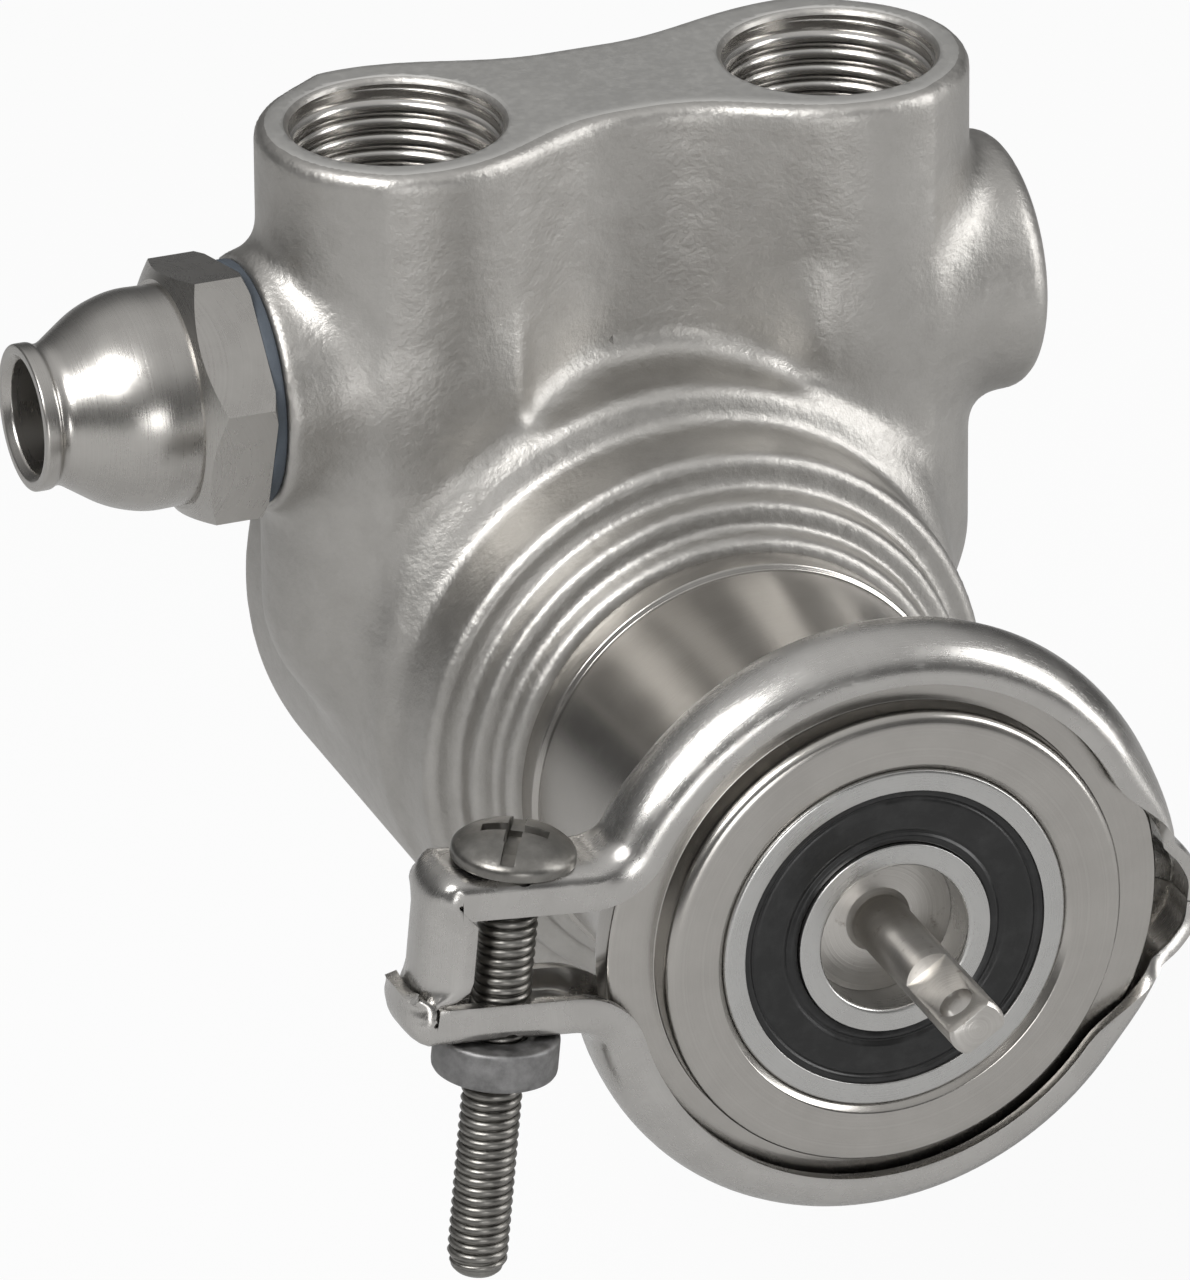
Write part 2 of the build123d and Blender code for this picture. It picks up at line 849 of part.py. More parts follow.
with BuildPart() as relief_cap:
    # hexagon with a turned chamfer on its outer side
    hex_plane = Plane(
        origin=(-gasket_outer, port_station, relief_height), x_dir=(0, -1, 0), z_dir=(-1, 0, 0)
    )
    with BuildSketch(hex_plane):
        RegularPolygon(cap_hex_flats / 2, 6, major_radius=False, rotation=cap_hex_turn)
    extrude(amount=cap_hex_length)
    corner = cap_hex_flats / sqrt(3)
    revolve(
        section(
            (0, gasket_outer),
            (corner + press_play, gasket_outer),
            (corner + press_play, hex_outer - cap_hex_chamfer),
            (cap_dome_radius, hex_outer),
            (0, hex_outer),
            plane=relief_plane,
        ),
        axis=relief_line,
        mode=Mode.INTERSECT,
    )
    # dome, nose and threaded spigot
    with BuildSketch(relief_plane):
        with BuildLine():
            Line((0, hex_outer), (cap_dome_radius, hex_outer))
            Spline(
                (cap_dome_radius, hex_outer),
                (cap_dome_radius * 0.97, hex_outer + cap_dome_length * 0.42),
                (cap_nose_radius + 0.25, dome_outer - 0.15),
                tangents=((0.02, 1), (-1, 0.95)),
            )
            Polyline(
                (cap_nose_radius + 0.25, dome_outer - 0.15),
                (cap_nose_radius, dome_outer),
                (cap_nose_radius, nose_end),
                (0, nose_end),
                (0, hex_outer),
            )
        make_face()
    revolve(axis=relief_line)
    revolve(
        section(
            (0, cap_inner_end),
            (cap_thread_radius - cap_thread_relief, cap_inner_end),
            (cap_thread_radius, cap_inner_end + cap_thread_relief),
            (cap_thread_radius, gasket_outer),
            (0, gasket_outer),
            plane=relief_plane,
        ),
        axis=relief_line,
    )
    # bores: open nose, adjuster thread, spring chamber
    revolve(
        section(
            (0, nose_end),
            (cap_nose_bore + cap_nose_chamfer, nose_end),
            (cap_nose_bore, nose_end - cap_nose_chamfer),
            (cap_nose_bore, adjuster_outer_end),
            (adjuster_radius + thread_play, adjuster_outer_end),
            (adjuster_radius + thread_play, adjuster_inner_end),
            (cap_spring_bore, adjuster_inner_end),
            (cap_spring_bore, cap_inner_end),
            (0, cap_inner_end),
            plane=relief_plane,
        ),
        axis=relief_line,
        mode=Mode.SUBTRACT,
    )
save(relief_cap, "relief_cap")

with BuildPart() as relief_cap_gasket:
    revolve(
        ring(gasket_bore, gasket_radius, relief_face, gasket_outer, plane=relief_plane),
        axis=relief_line,
    )
save(relief_cap_gasket, "relief_cap_gasket")

groove_middle = adjuster_inner_end + adjuster_length / 3

with BuildPart() as relief_adjuster:
    revolve(
        section(
            (0, adjuster_inner_end),
            (adjuster_radius, adjuster_inner_end),
            (adjuster_radius, groove_middle - adjuster_groove_width / 2),
            (
                adjuster_radius - adjuster_groove_depth,
                groove_middle - adjuster_groove_width / 2,
            ),
            (
                adjuster_radius - adjuster_groove_depth,
                groove_middle + adjuster_groove_width / 2,
            ),
            (adjuster_radius, groove_middle + adjuster_groove_width / 2),
            (adjuster_radius, adjuster_outer_end),
            (0, adjuster_outer_end),
            plane=relief_plane,
        ),
        axis=relief_line,
    )
    with Locations(Plane(origin=(-adjuster_outer_end, port_station, relief_height), z_dir=(-1, 0, 0))):
        Box(4 * adjuster_radius, adjuster_slot, 2 * adjuster_slot_depth, mode=Mode.SUBTRACT)
save(relief_adjuster, "relief_adjuster")

with BuildPart() as relief_adjuster_ring:
    with BuildSketch(relief_plane):
        with Locations((adjuster_radius - adjuster_groove_depth / 2, groove_middle)):
            Circle(adjuster_groove_depth / 2 - press_play)
    revolve(axis=relief_line)
save(relief_adjuster_ring, "relief_adjuster_ring")

with BuildPart() as relief_spring_seat:
    revolve(
        section(
            (0, spring_seat_end - poppet_pilot_length),
            (poppet_pilot, spring_seat_end - poppet_pilot_length),
            (poppet_pilot, spring_seat_end),
            (spring_seat_radius, spring_seat_end),
            (spring_seat_radius, adjuster_inner_end),
            (0, adjuster_inner_end),
            plane=relief_plane,
        ),
        axis=relief_line,
    )
save(relief_spring_seat, "relief_spring_seat")

with BuildPart() as relief_spring:
    with Locations(Plane(origin=(-poppet_back, port_station, relief_height), z_dir=(-1, 0, 0))):
        add(coil(relief_spring_radius, relief_wire, spring_seat_end - poppet_back, relief_turns))
save(relief_spring, "relief_spring")

with BuildPart() as relief_poppet:
    revolve(
        section(
            (0, valve_seat_face - poppet_stem / 2),
            (valve_seat_bore - poppet_stem / 2, valve_seat_face - poppet_stem / 2),
            (valve_seat_bore + poppet_stem / 2, valve_seat_face + poppet_stem / 2),
            (poppet_stem, valve_seat_face + poppet_stem),
            (poppet_stem, poppet_back - poppet_skirt),
            (poppet_radius, poppet_back - poppet_skirt),
            (poppet_radius, poppet_back),
            (poppet_pilot, poppet_back),
            (poppet_pilot, poppet_back + poppet_pilot_length),
            (0, poppet_back + poppet_pilot_length),
            plane=relief_plane,
        ),
        axis=relief_line,
    )
save(relief_poppet, "relief_poppet")

with BuildPart() as relief_valve_seat:
    revolve(
        section(
            (valve_seat_bore, valve_seat_face - valve_seat_length),
            (valve_seat_radius - press_play, valve_seat_face - valve_seat_length),
            (valve_seat_radius - press_play, valve_seat_face),
            (valve_seat_bore + press_play, valve_seat_face),
            (valve_seat_bore, valve_seat_face - press_play),
            plane=relief_plane,
        ),
        axis=relief_line,
    )
save(relief_valve_seat, "relief_valve_seat")


# ---- clamp ---------------------------------------------------------------------------------

# The clamp's own frame: its split line is local X, its screw is parallel to local Z.
blend_height = ear_height + ear_blend
blend_angle = degrees(asin(blend_height / (clamp_radius + ear_blend)))
blend_x = -(clamp_radius + ear_blend) * cos(radians(blend_angle))


def bent_sheet(plane, *points):
    """The sheet's section along the given middle line, with rounded bends."""
    with BuildSketch(plane) as face:
        with BuildLine():
            FilletPolyline(*points, radius=clamp_bend)
        trace(line_width=sheet)
    return face.sketch


def ring_channel(plane):
    """The V channel that draws the two flanges together."""
    return bent_sheet(
        plane,
        (clamp_radius - clamp_lip, clamp_front),
        (clamp_radius - clamp_knee, clamp_front),
        (clamp_radius, clamp_crown_start),
        (clamp_radius, clamp_crown_end),
        (clamp_radius - clamp_leg, clamp_rear),
    )


def ear_channel(plane):
    """The flat channel of an ear, with a short leg along each edge."""
    return bent_sheet(
        plane,
        (clamp_radius - ear_leg, clamp_front),
        (clamp_radius, clamp_front),
        (clamp_radius, clamp_rear),
        (clamp_radius - ear_leg, clamp_rear),
    )


def radial_plane(angle, centre=(0, 0)):
    """A plane that holds a line parallel to Y; local X points out at the angle."""
    return Plane(
        origin=(centre[0], 0, centre[1]),
        x_dir=(cos(radians(angle)), 0, sin(radians(angle))),
        z_dir=(-sin(radians(angle)), 0, cos(radians(angle))),
    )


def half_band(wall_depth, wall_stand_off):
    """The half above the split: hinge loop, ring, blend, ear and its end wall."""
    wall_face = ear_end + wall_stand_off
    with BuildPart() as band:
        # ring, from the hinge loop over the top to the blend
        revolve(
            ring_channel(radial_plane(loop_half_angle)),
            axis=Axis((0, 0, 0), (0, -1, 0)),
            revolution_arc=180 - blend_angle - loop_half_angle,
        )
        # blend, curved the other way
        revolve(
            ear_channel(radial_plane(180 - blend_angle)),
            axis=Axis((blend_x, 0, blend_height), (0, 1, 0)),
            revolution_arc=90 - blend_angle,
        )
        # ear, straight out to its end wall
        ear_plane = Plane(
            origin=(blend_x, 0, ear_height - clamp_radius), x_dir=(0, 0, 1), z_dir=(-1, 0, 0)
        )
        extrude(ear_channel(ear_plane), amount=wall_face + blend_x)
        # end wall with short returns at its front and rear
        top = ear_height + sheet / 2
        wall_middle = (clamp_front + clamp_rear) / 2
        wall_width = clamp_rear - clamp_front + sheet
        with BuildSketch(Plane.XY.offset(top - wall_depth)):
            with Locations((wall_return / 2 - wall_face, wall_middle)):
                Rectangle(wall_return, wall_width)
            corners = vertices().sort_by(Axis.X)[:2]
            fillet(corners, radius=2 * sheet)
        extrude(amount=wall_depth - sheet / 2)
        with BuildSketch(Plane.XY.offset(top - wall_depth)):
            with Locations((sheet + wall_return - wall_face, wall_middle)):
                Rectangle(2 * wall_return, wall_width - 2 * sheet)
            corners = vertices().sort_by(Axis.X)[:2]
            fillet(corners, radius=sheet)
        extrude(amount=wall_depth - sheet, mode=Mode.SUBTRACT)
        with BuildSketch(Plane.XY.offset(top - wall_depth)):
            with Locations((sheet + wall_return - wall_face, wall_middle)):
                Rectangle(2 * wall_return, 2 * wall_width)
        extrude(amount=wall_tip, mode=Mode.SUBTRACT)
        # screw hole
        with BuildSketch(Plane.XY.offset(ear_height)):
            with Locations((-screw_offset, screw_station)):
                Circle(ear_hole)
        extrude(amount=sheet, both=True, mode=Mode.SUBTRACT)
        # hinge loop: the crown of the channel runs out and back over the split
        with BuildSketch(Plane.XZ.offset(-(clamp_crown_start + clamp_crown_end - loop_width) / 2)):
            with BuildLine():
                FilletPolyline(
                    (
                        clamp_radius * cos(radians(loop_half_angle)),
                        clamp_radius * sin(radians(loop_half_angle)),
                    ),
                    (loop_reach - sheet, loop_rise),
                    (loop_reach, 0),
                    radius=sheet,
                )
            trace(line_width=sheet)
            with Locations((loop_reach, -clamp_radius + split_gap / 2)):
                Rectangle(2 * clamp_radius, 2 * clamp_radius, mode=Mode.SUBTRACT)
        extrude(amount=-loop_width)
    return band.part


upper_half = half_band(upper_wall_depth, 0)
lower_half = mirror(half_band(lower_wall_depth, sheet + wide_play), about=Plane.XY)


def turned(shape):
    """Carry a shape from the clamp's own frame to its place on the pump."""
    return shape.rotate(Axis.Y, clamp_turn)


with BuildPart() as clamp_upper_band:
    add(turned(upper_half))
save(clamp_upper_band, "clamp_upper_band")

with BuildPart() as clamp_lower_band:
    add(turned(lower_half))
save(clamp_lower_band, "clamp_lower_band")

# pan-head screw through both ears, with a combined slot and cross recess
screw_line = Axis((-screw_offset, screw_station, 0), (0, 0, 1))
screw_plane = Plane(origin=(-screw_offset, screw_station, 0), x_dir=(1, 0, 0), z_dir=(0, -1, 0))
head_seat = ear_height + sheet / 2 + head_play

with BuildPart() as screw_form:
    with BuildSketch(screw_plane):
        with BuildLine():
            Polyline(
                (0, head_seat + head_height),
                (0, -screw_reach),
                (screw_radius - nut_chamfer, -screw_reach),
                (screw_radius, nut_chamfer - screw_reach),
                (screw_radius, head_seat),
                (head_radius, head_seat),
                (head_radius, head_seat + head_rim),
            )
            ThreePointArc(
                (head_radius, head_seat + head_rim),
                (head_radius * 0.72, head_seat + head_rim + (head_height - head_rim) * 0.6),
                (0, head_seat + head_height),
            )
        make_face()
    revolve(axis=screw_line)
    with Locations((-screw_offset, screw_station, head_seat + head_height)):
        Box(4 * head_radius, screw_slot, 2 * screw_slot_depth, mode=Mode.SUBTRACT)
        Box(screw_slot, head_radius, 2 * screw_slot_depth, mode=Mode.SUBTRACT)

with BuildPart() as nut_form:
    nut_top = -ear_height - sheet / 2 - nut_play
    revolve(
        section(
            (screw_radius + thread_play, nut_top),
            (nut_radius - nut_chamfer, nut_top),
            (nut_radius, nut_top - nut_chamfer),
            (nut_radius, nut_top - nut_height + nut_chamfer),
            (nut_radius - nut_chamfer, nut_top - nut_height),
            (screw_radius + thread_play, nut_top - nut_height),
            plane=screw_plane,
        ),
        axis=screw_line,
    )

with BuildPart() as clamp_screw:
    add(turned(screw_form.part))
save(clamp_screw, "clamp_screw")

with BuildPart() as clamp_nut:
    add(turned(nut_form.part))
save(clamp_nut, "clamp_nut")
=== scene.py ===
import json
from math import asin, cos, pi, radians, sin

import bmesh
import bpy
import numpy as np
from mathutils import Matrix, Vector


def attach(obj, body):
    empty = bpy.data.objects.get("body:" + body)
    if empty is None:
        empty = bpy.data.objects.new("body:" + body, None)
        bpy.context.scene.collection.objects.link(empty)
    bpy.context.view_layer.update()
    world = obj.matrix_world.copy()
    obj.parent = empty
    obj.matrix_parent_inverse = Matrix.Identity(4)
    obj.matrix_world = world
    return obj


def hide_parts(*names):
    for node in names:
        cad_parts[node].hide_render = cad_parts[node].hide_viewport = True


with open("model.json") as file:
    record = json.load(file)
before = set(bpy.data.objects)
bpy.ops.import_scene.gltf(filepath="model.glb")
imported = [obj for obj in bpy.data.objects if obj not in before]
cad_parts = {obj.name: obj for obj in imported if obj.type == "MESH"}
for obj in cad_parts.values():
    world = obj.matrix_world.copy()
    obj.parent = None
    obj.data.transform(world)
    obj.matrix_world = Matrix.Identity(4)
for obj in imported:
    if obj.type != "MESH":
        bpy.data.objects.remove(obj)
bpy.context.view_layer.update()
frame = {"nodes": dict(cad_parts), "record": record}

MM = 0.001


# ---- sizes in mm: origin on the pump's axis, in the plane of its clamping flange --------------

ON_AXIS = (0, 0, 0)
PORT_X = 22.55
PORT_Y = 70.9
PORT_TOP = 59.0
RELIEF_Z = 34.0
RELIEF_AT = (0, PORT_Y, RELIEF_Z)


# ---- shader expressions -----------------------------------------------------------------------


class Field:
    """A node socket that can take part in sums."""

    def __init__(self, finish, socket):
        self.finish = finish
        self.socket = socket

    def sum_with(self, operation, first, second):
        return self.finish.node("ShaderNodeMath", {"operation": operation}, {0: first, 1: second})

    def __add__(self, other):
        return self.sum_with("ADD", self, other)

    def __radd__(self, other):
        return self.sum_with("ADD", other, self)

    def __sub__(self, other):
        return self.sum_with("SUBTRACT", self, other)

    def __rsub__(self, other):
        return self.sum_with("SUBTRACT", other, self)

    def __mul__(self, other):
        return self.sum_with("MULTIPLY", self, other)

    def __rmul__(self, other):
        return self.sum_with("MULTIPLY", other, self)

    def __truediv__(self, other):
        return self.sum_with("DIVIDE", self, other)

    def __pow__(self, other):
        return self.sum_with("POWER", self, other)

    def __gt__(self, other):
        return self.sum_with("GREATER_THAN", self, other)

    def minimum(self, other):
        return self.sum_with("MINIMUM", self, other)


class Nodes:
    """A node tree and the one method that adds to it."""

    def __init__(self, tree):
        self.tree = tree

    def node(self, kind, settings=None, sockets=None, output=0):
        made = self.tree.nodes.new(kind)
        for name, value in (settings or {}).items():
            if name == "stops":
                ramp = made.color_ramp
                for place, shade in value:
                    stop = ramp.elements.new(place)
                    stop.color = (shade, shade, shade, 1)
                ramp.elements.remove(ramp.elements[0])
                ramp.elements.remove(ramp.elements[-1])
            else:
                setattr(made, name, value)
        for name, value in (sockets or {}).items():
            if isinstance(value, Field):
                self.tree.links.new(value.socket, made.inputs[name])
            else:
                made.inputs[name].default_value = value
        return Field(self, made.outputs[output]) if len(made.outputs) else made


class Finish(Nodes):
    """A material, its coordinates and the patterns that it is made from."""

    def __init__(self, name):
        self.material = bpy.data.materials.new(name)
        self.material.use_nodes = True
        super().__init__(self.material.node_tree)
        self.tree.nodes.clear()
        self.place = self.node("ShaderNodeTexCoord", {}, {}, "Object")

    def axes(self, centre=ON_AXIS):
        """The three coordinates in mm, counted from a centre given in mm."""
        shifted = self.node(
            "ShaderNodeMapping",
            {},
            {"Vector": self.place, "Location": [-c for c in centre], "Scale": (1 / MM,) * 3},
        )
        return [self.node("ShaderNodeSeparateXYZ", {}, {0: shifted}, i) for i in range(3)]

    def noise(self, size, detail=3.0, rough=0.55, stretch=None):
        """Smooth noise with features of a size in mm, stretched along the axes."""
        where = self.place
        if stretch:
            where = self.node("ShaderNodeMapping", {}, {"Vector": self.place, "Scale": stretch})
        return self.node(
            "ShaderNodeTexNoise",
            {},
            {"Vector": where, "Scale": 1 / (size * MM), "Detail": detail, "Roughness": rough},
        )

    def rings(self, along, size, detail=2.0):
        """Noise that varies with one coordinate alone, as turning marks do."""
        return self.node(
            "ShaderNodeTexNoise",
            {"noise_dimensions": "1D"},
            {"W": along, "Scale": 1 / size, "Detail": detail, "Roughness": 0.7},
        )

    def ramp(self, value, *stops):
        return self.node("ShaderNodeValToRGB", {"stops": stops}, {0: value})

    def tint(self, mask, low, high):
        """A colour between two, by a mask; each may be a pattern itself."""
        first, second = (c if isinstance(c, Field) else (*c, 1) for c in (low, high))
        sockets = {0: mask, 6: first, 7: second}
        return self.node("ShaderNodeMix", {"data_type": "RGBA"}, sockets, 2)

    def surface(self, colour, roughness, height=None, depth=0.02, metallic=1.0, **plain):
        """Closes the material; height is a bump pattern, depth its size in mm."""
        sockets = {"Base Color": colour, "Roughness": roughness, "Metallic": metallic}
        sockets.update({name.replace("_", " "): value for name, value in plain.items()})
        if height is not None:
            sockets["Normal"] = self.node(
                "ShaderNodeBump", {}, {"Strength": 1.0, "Distance": depth * MM, "Height": height}
            )
        shader = self.node("ShaderNodeBsdfPrincipled", {}, sockets)
        self.node("ShaderNodeOutputMaterial", {}, {"Surface": shader})
        return self.material


# ---- finishes ---------------------------------------------------------------------------------

X_AXIS, Y_AXIS, Z_AXIS = range(3)
GREY_LOW = (0.36, 0.345, 0.325)
GREY_HIGH = (0.52, 0.505, 0.48)
CAST_LOW = (0.34, 0.327, 0.308)
CAST_HIGH = (0.50, 0.487, 0.465)
MILLED = (0.66, 0.65, 0.625)
RUST = (0.10, 0.052, 0.03)


def blasted_casting():
    """Bead-blasted investment casting with a milled port face."""
    f = Finish("blasted_casting")
    cast = 1 - (f.axes()[Z_AXIS] > PORT_TOP - 0.12)
    grain = f.noise(0.42, 3.0, 0.6)
    lumps = f.noise(2.6, 2.0, 0.5)
    clouds = f.noise(11.0, 3.0, 0.55)
    specks = f.ramp(f.noise(0.9, 4.0, 0.7), (0.42, 0.0), (0.72, 1.0))
    hollow = f.ramp(lumps, (0.30, 0.0), (0.55, 1.0))
    skin_tone = f.tint(clouds * 0.6 + grain * 0.25 + hollow * 0.15, CAST_LOW, CAST_HIGH)
    colour = f.tint(cast, MILLED, skin_tone)
    rough = 0.36 + clouds * 0.12 + specks * 0.08
    height = (grain * 0.5 + lumps * 1.5 + specks * 0.12) * cast + grain * 0.12
    return f.surface(colour, rough, height, 0.075)


def turned(name, axis, centre, low, high, rough, mark=0.22, depth=0.008, stain=None):
    """Lathe-turned metal: fine rings round an axis, light smudges."""
    f = Finish(name)
    places = f.axes(centre)
    along = places.pop(axis)
    radius = (places[0] ** 2 + places[1] ** 2) ** 0.5
    marks = f.rings(radius + along * 0.83, mark, 3.0)
    smudge = f.noise(3.5, 4.0, 0.6)
    colour = f.tint(marks * 0.45 + smudge * 0.55, low, high)
    if stain:
        shade, stops = stain
        colour = f.tint(f.ramp(f.noise(1.6, 5.0, 0.7), *stops), colour, shade)
    roughness = rough + smudge * 0.10 + marks * 0.06
    return f.surface(colour, roughness, marks, depth)


def drawn_sheet():
    """Pressed and polished sheet with brush marks along the band."""
    f = Finish("drawn_sheet")
    x, y, z = f.axes()
    marks = f.rings(y + (x * x + z * z) ** 0.5, 0.18, 3.0)
    smudge = f.noise(4.5, 4.0, 0.62)
    dents = f.noise(7.0, 1.0, 0.4)
    scratches = f.ramp(f.noise(1.4, 2.0, 0.5, (1, 14, 1)), (0.60, 0.0), (0.66, 1.0))
    colour = f.tint(smudge * 0.7 + marks * 0.3, (0.38, 0.368, 0.35), (0.56, 0.547, 0.527))
    rough = 0.19 + smudge * 0.16 + scratches * 0.07
    return f.surface(colour, rough, marks * 0.10 + dents * 2.4 + scratches * 0.05, 0.05)


def rolled_screw():
    f = Finish("rolled_screw")
    smudge = f.noise(1.2, 4.0, 0.65)
    grime = f.ramp(f.noise(3.0, 4.0, 0.6), (0.35, 0.0), (0.75, 1.0))
    colour = f.tint(smudge * 0.5 + grime * 0.5, (0.13, 0.125, 0.115), (0.32, 0.31, 0.29))
    return f.surface(colour, 0.26 + smudge * 0.18, smudge + f.noise(0.3), 0.012)


def dull_nut():
    f = Finish("dull_nut")
    scale = f.noise(0.5, 4.0, 0.7)
    patches = f.ramp(f.noise(2.2, 5.0, 0.65), (0.35, 0.0), (0.68, 1.0))
    colour = f.tint(patches, (0.17, 0.168, 0.167), (0.31, 0.307, 0.305))
    return f.surface(colour, 0.46 + patches * 0.16, scale + patches * 0.6, 0.03)


def moulded_rubber():
    f = Finish("moulded_rubber")
    x, _, z = f.axes()
    radius = (x * x + z * z) ** 0.5
    skin = f.noise(0.35, 3.0, 0.6)
    dust = f.ramp(f.noise(2.4, 5.0, 0.7), (0.45, 0.0), (0.85, 1.0))
    colour = f.tint(dust, (0.006, 0.006, 0.006), (0.020, 0.020, 0.020))
    height = skin * 0.5 + f.rings(radius, 0.5, 1.0) * 0.6
    return f.surface(colour, 0.30 + dust * 0.2, height, 0.02, 0.0, Specular_IOR_Level=0.45)


def pressed_fibre():
    f = Finish("pressed_fibre")
    fibre = f.noise(0.4, 5.0, 0.7)
    blotch = f.noise(2.0, 3.0, 0.6)
    colour = f.tint(fibre * 0.5 + blotch * 0.5, (0.030, 0.040, 0.052), (0.085, 0.10, 0.12))
    return f.surface(colour, 0.62 + blotch * 0.15, fibre, 0.04, 0.0)


def dense_carbon(name, low, high):
    f = Finish(name)
    pores = f.noise(0.25, 4.0, 0.7)
    blotch = f.noise(2.5, 3.0, 0.6)
    colour = f.tint(pores * 0.4 + blotch * 0.6, low, high)
    return f.surface(colour, 0.42 + blotch * 0.15, pores, 0.02, 0.0)


def drawn_wire():
    f = Finish("drawn_wire")
    grain = f.noise(0.3, 3.0, 0.6, (1, 1, 5))
    colour = f.tint(grain, (0.42, 0.415, 0.41), (0.58, 0.575, 0.57))
    return f.surface(colour, 0.25 + grain * 0.12, grain, 0.01)


finishes = {
    "cast_stainless": blasted_casting(),
    "turned_stainless": turned("turned_cap", X_AXIS, RELIEF_AT, GREY_LOW, GREY_HIGH, 0.20),
    "bearing_steel": turned(
        "ground_race", Y_AXIS, ON_AXIS, (0.40, 0.395, 0.385), (0.55, 0.545, 0.53), 0.20,
        mark=0.12, depth=0.004,
    ),
    "seal_rubber": moulded_rubber(),
    "shaft_steel": turned(
        "tarnished_shaft", Y_AXIS, ON_AXIS, (0.40, 0.382, 0.358), (0.60, 0.58, 0.55), 0.26,
        mark=0.30, depth=0.02, stain=(RUST, ((0.60, 0.0), (0.78, 0.75))),
    ),
    "ceramic": dense_carbon("lapped_ceramic", (0.70, 0.69, 0.64), (0.80, 0.79, 0.75)),
    "carbon": dense_carbon("seal_carbon", (0.03, 0.03, 0.032), (0.07, 0.07, 0.075)),
    "carbon_liner": dense_carbon("liner_carbon", (0.05, 0.05, 0.053), (0.10, 0.10, 0.105)),
    "spring_steel": drawn_wire(),
    "cage_brass": turned(
        "pressed_brass", Y_AXIS, ON_AXIS, (0.50, 0.36, 0.15), (0.70, 0.55, 0.28), 0.25
    ),
    "gasket_fibre": pressed_fibre(),
    "polished_sheet": drawn_sheet(),
    "screw_steel": rolled_screw(),
    "nut_steel": dull_nut(),
}
neck_finish = turned(
    "turned_neck", Y_AXIS, ON_AXIS, (0.33, 0.315, 0.295), (0.50, 0.483, 0.455), 0.15,
    mark=0.25, depth=0.006,
)
thread_finish = turned(
    "cut_thread", Z_AXIS, (-PORT_X, PORT_Y, 0), (0.42, 0.405, 0.385), (0.60, 0.585, 0.56), 0.15
)


# ---- making meshes ----------------------------------------------------------------------------


def placed(name, data):
    """An object of the scene for a mesh, a lamp or a camera."""
    made = bpy.data.objects.new(name, data)
    bpy.context.scene.collection.objects.link(made)
    return made


def mesh_object(name, vertices, faces):
    """An object from points in mm."""
    mesh = bpy.data.meshes.new(name)
    mesh.from_pydata([tuple(float(c) * MM for c in v) for v in vertices], [], faces)
    return placed(name, mesh)


def clean(made, weld=1e-7, outward=True):
    """Merge doubles and point the faces outward."""
    form = bmesh.new()
    form.from_mesh(made.data)
    bmesh.ops.remove_doubles(form, verts=form.verts, dist=weld)
    bmesh.ops.dissolve_degenerate(form, edges=form.edges, dist=weld)
    if outward:
        bmesh.ops.recalc_face_normals(form, faces=form.faces)
    form.to_mesh(made.data)
    form.free()
    return made


def evaluated(made):
    """Replace a mesh by what its modifiers make of it."""
    bpy.context.view_layer.update()
    result = bpy.data.meshes.new_from_object(
        made.evaluated_get(bpy.context.evaluated_depsgraph_get())
    )
    made.modifiers.clear()
    made.data = result
    return made


def combine(made, tool, operation="DIFFERENCE"):
    """Cut or join one closed mesh by another, which is then thrown away."""
    step = made.modifiers.new("combine", "BOOLEAN")
    step.solver = "MANIFOLD"
    step.operation = operation
    step.object = tool
    evaluated(made)
    bpy.data.objects.remove(tool)
    return made


def join(made, *others):
    """Put several meshes into one object."""
    form = bmesh.new()
    for each in (made, *others):
        form.from_mesh(each.data)
    form.to_mesh(made.data)
    form.free()
    for each in others:
        bpy.data.objects.remove(each)
    return made


def bevelled(made, width, angle):
    """Break the edges of a mesh that are sharper than an angle."""
    step = made.modifiers.new("edges", "BEVEL")
    step.width = width * MM
    step.segments = 2
    step.limit_method = "ANGLE"
    step.angle_limit = radians(angle)
    step.harden_normals = False
    return evaluated(made)


def dress(made, finish, body, slot, *nodes, sharp=38.0):
    """Shade, finish and place a ready mesh on its body."""
    made.data.materials.clear()
    made.data.materials.append(finish)
    made.data.polygons.foreach_set("use_smooth", [True] * len(made.data.polygons))
    made.data.polygons.foreach_set("material_index", [0] * len(made.data.polygons))
    made.data.set_sharp_from_angle(angle=radians(sharp))
    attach(made, body)
    if nodes:
        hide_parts(*nodes)
    return made


def corners(points, rounding, closed=True, steps=4):
    """A plane outline whose corners are rounded; each point may carry its own radius."""
    outline = []
    count = len(points)
    for i, point in enumerate(points):
        here = np.array(point[:2], float)
        soft = point[2] if len(point) > 2 else rounding
        if soft == 0 or (not closed and i in (0, count - 1)):
            outline.append(here)
            continue
        before = np.array(points[i - 1][:2], float) - here
        after = np.array(points[(i + 1) % count][:2], float) - here
        run_in = min(soft, 0.48 * np.linalg.norm(before))
        run_out = min(soft, 0.48 * np.linalg.norm(after))
        start = here + before / np.linalg.norm(before) * run_in
        end = here + after / np.linalg.norm(after) * run_out
        for t in np.linspace(0, 1, steps + 1):
            outline.append((1 - t) ** 2 * start + 2 * t * (1 - t) * here + t * t * end)
    return outline


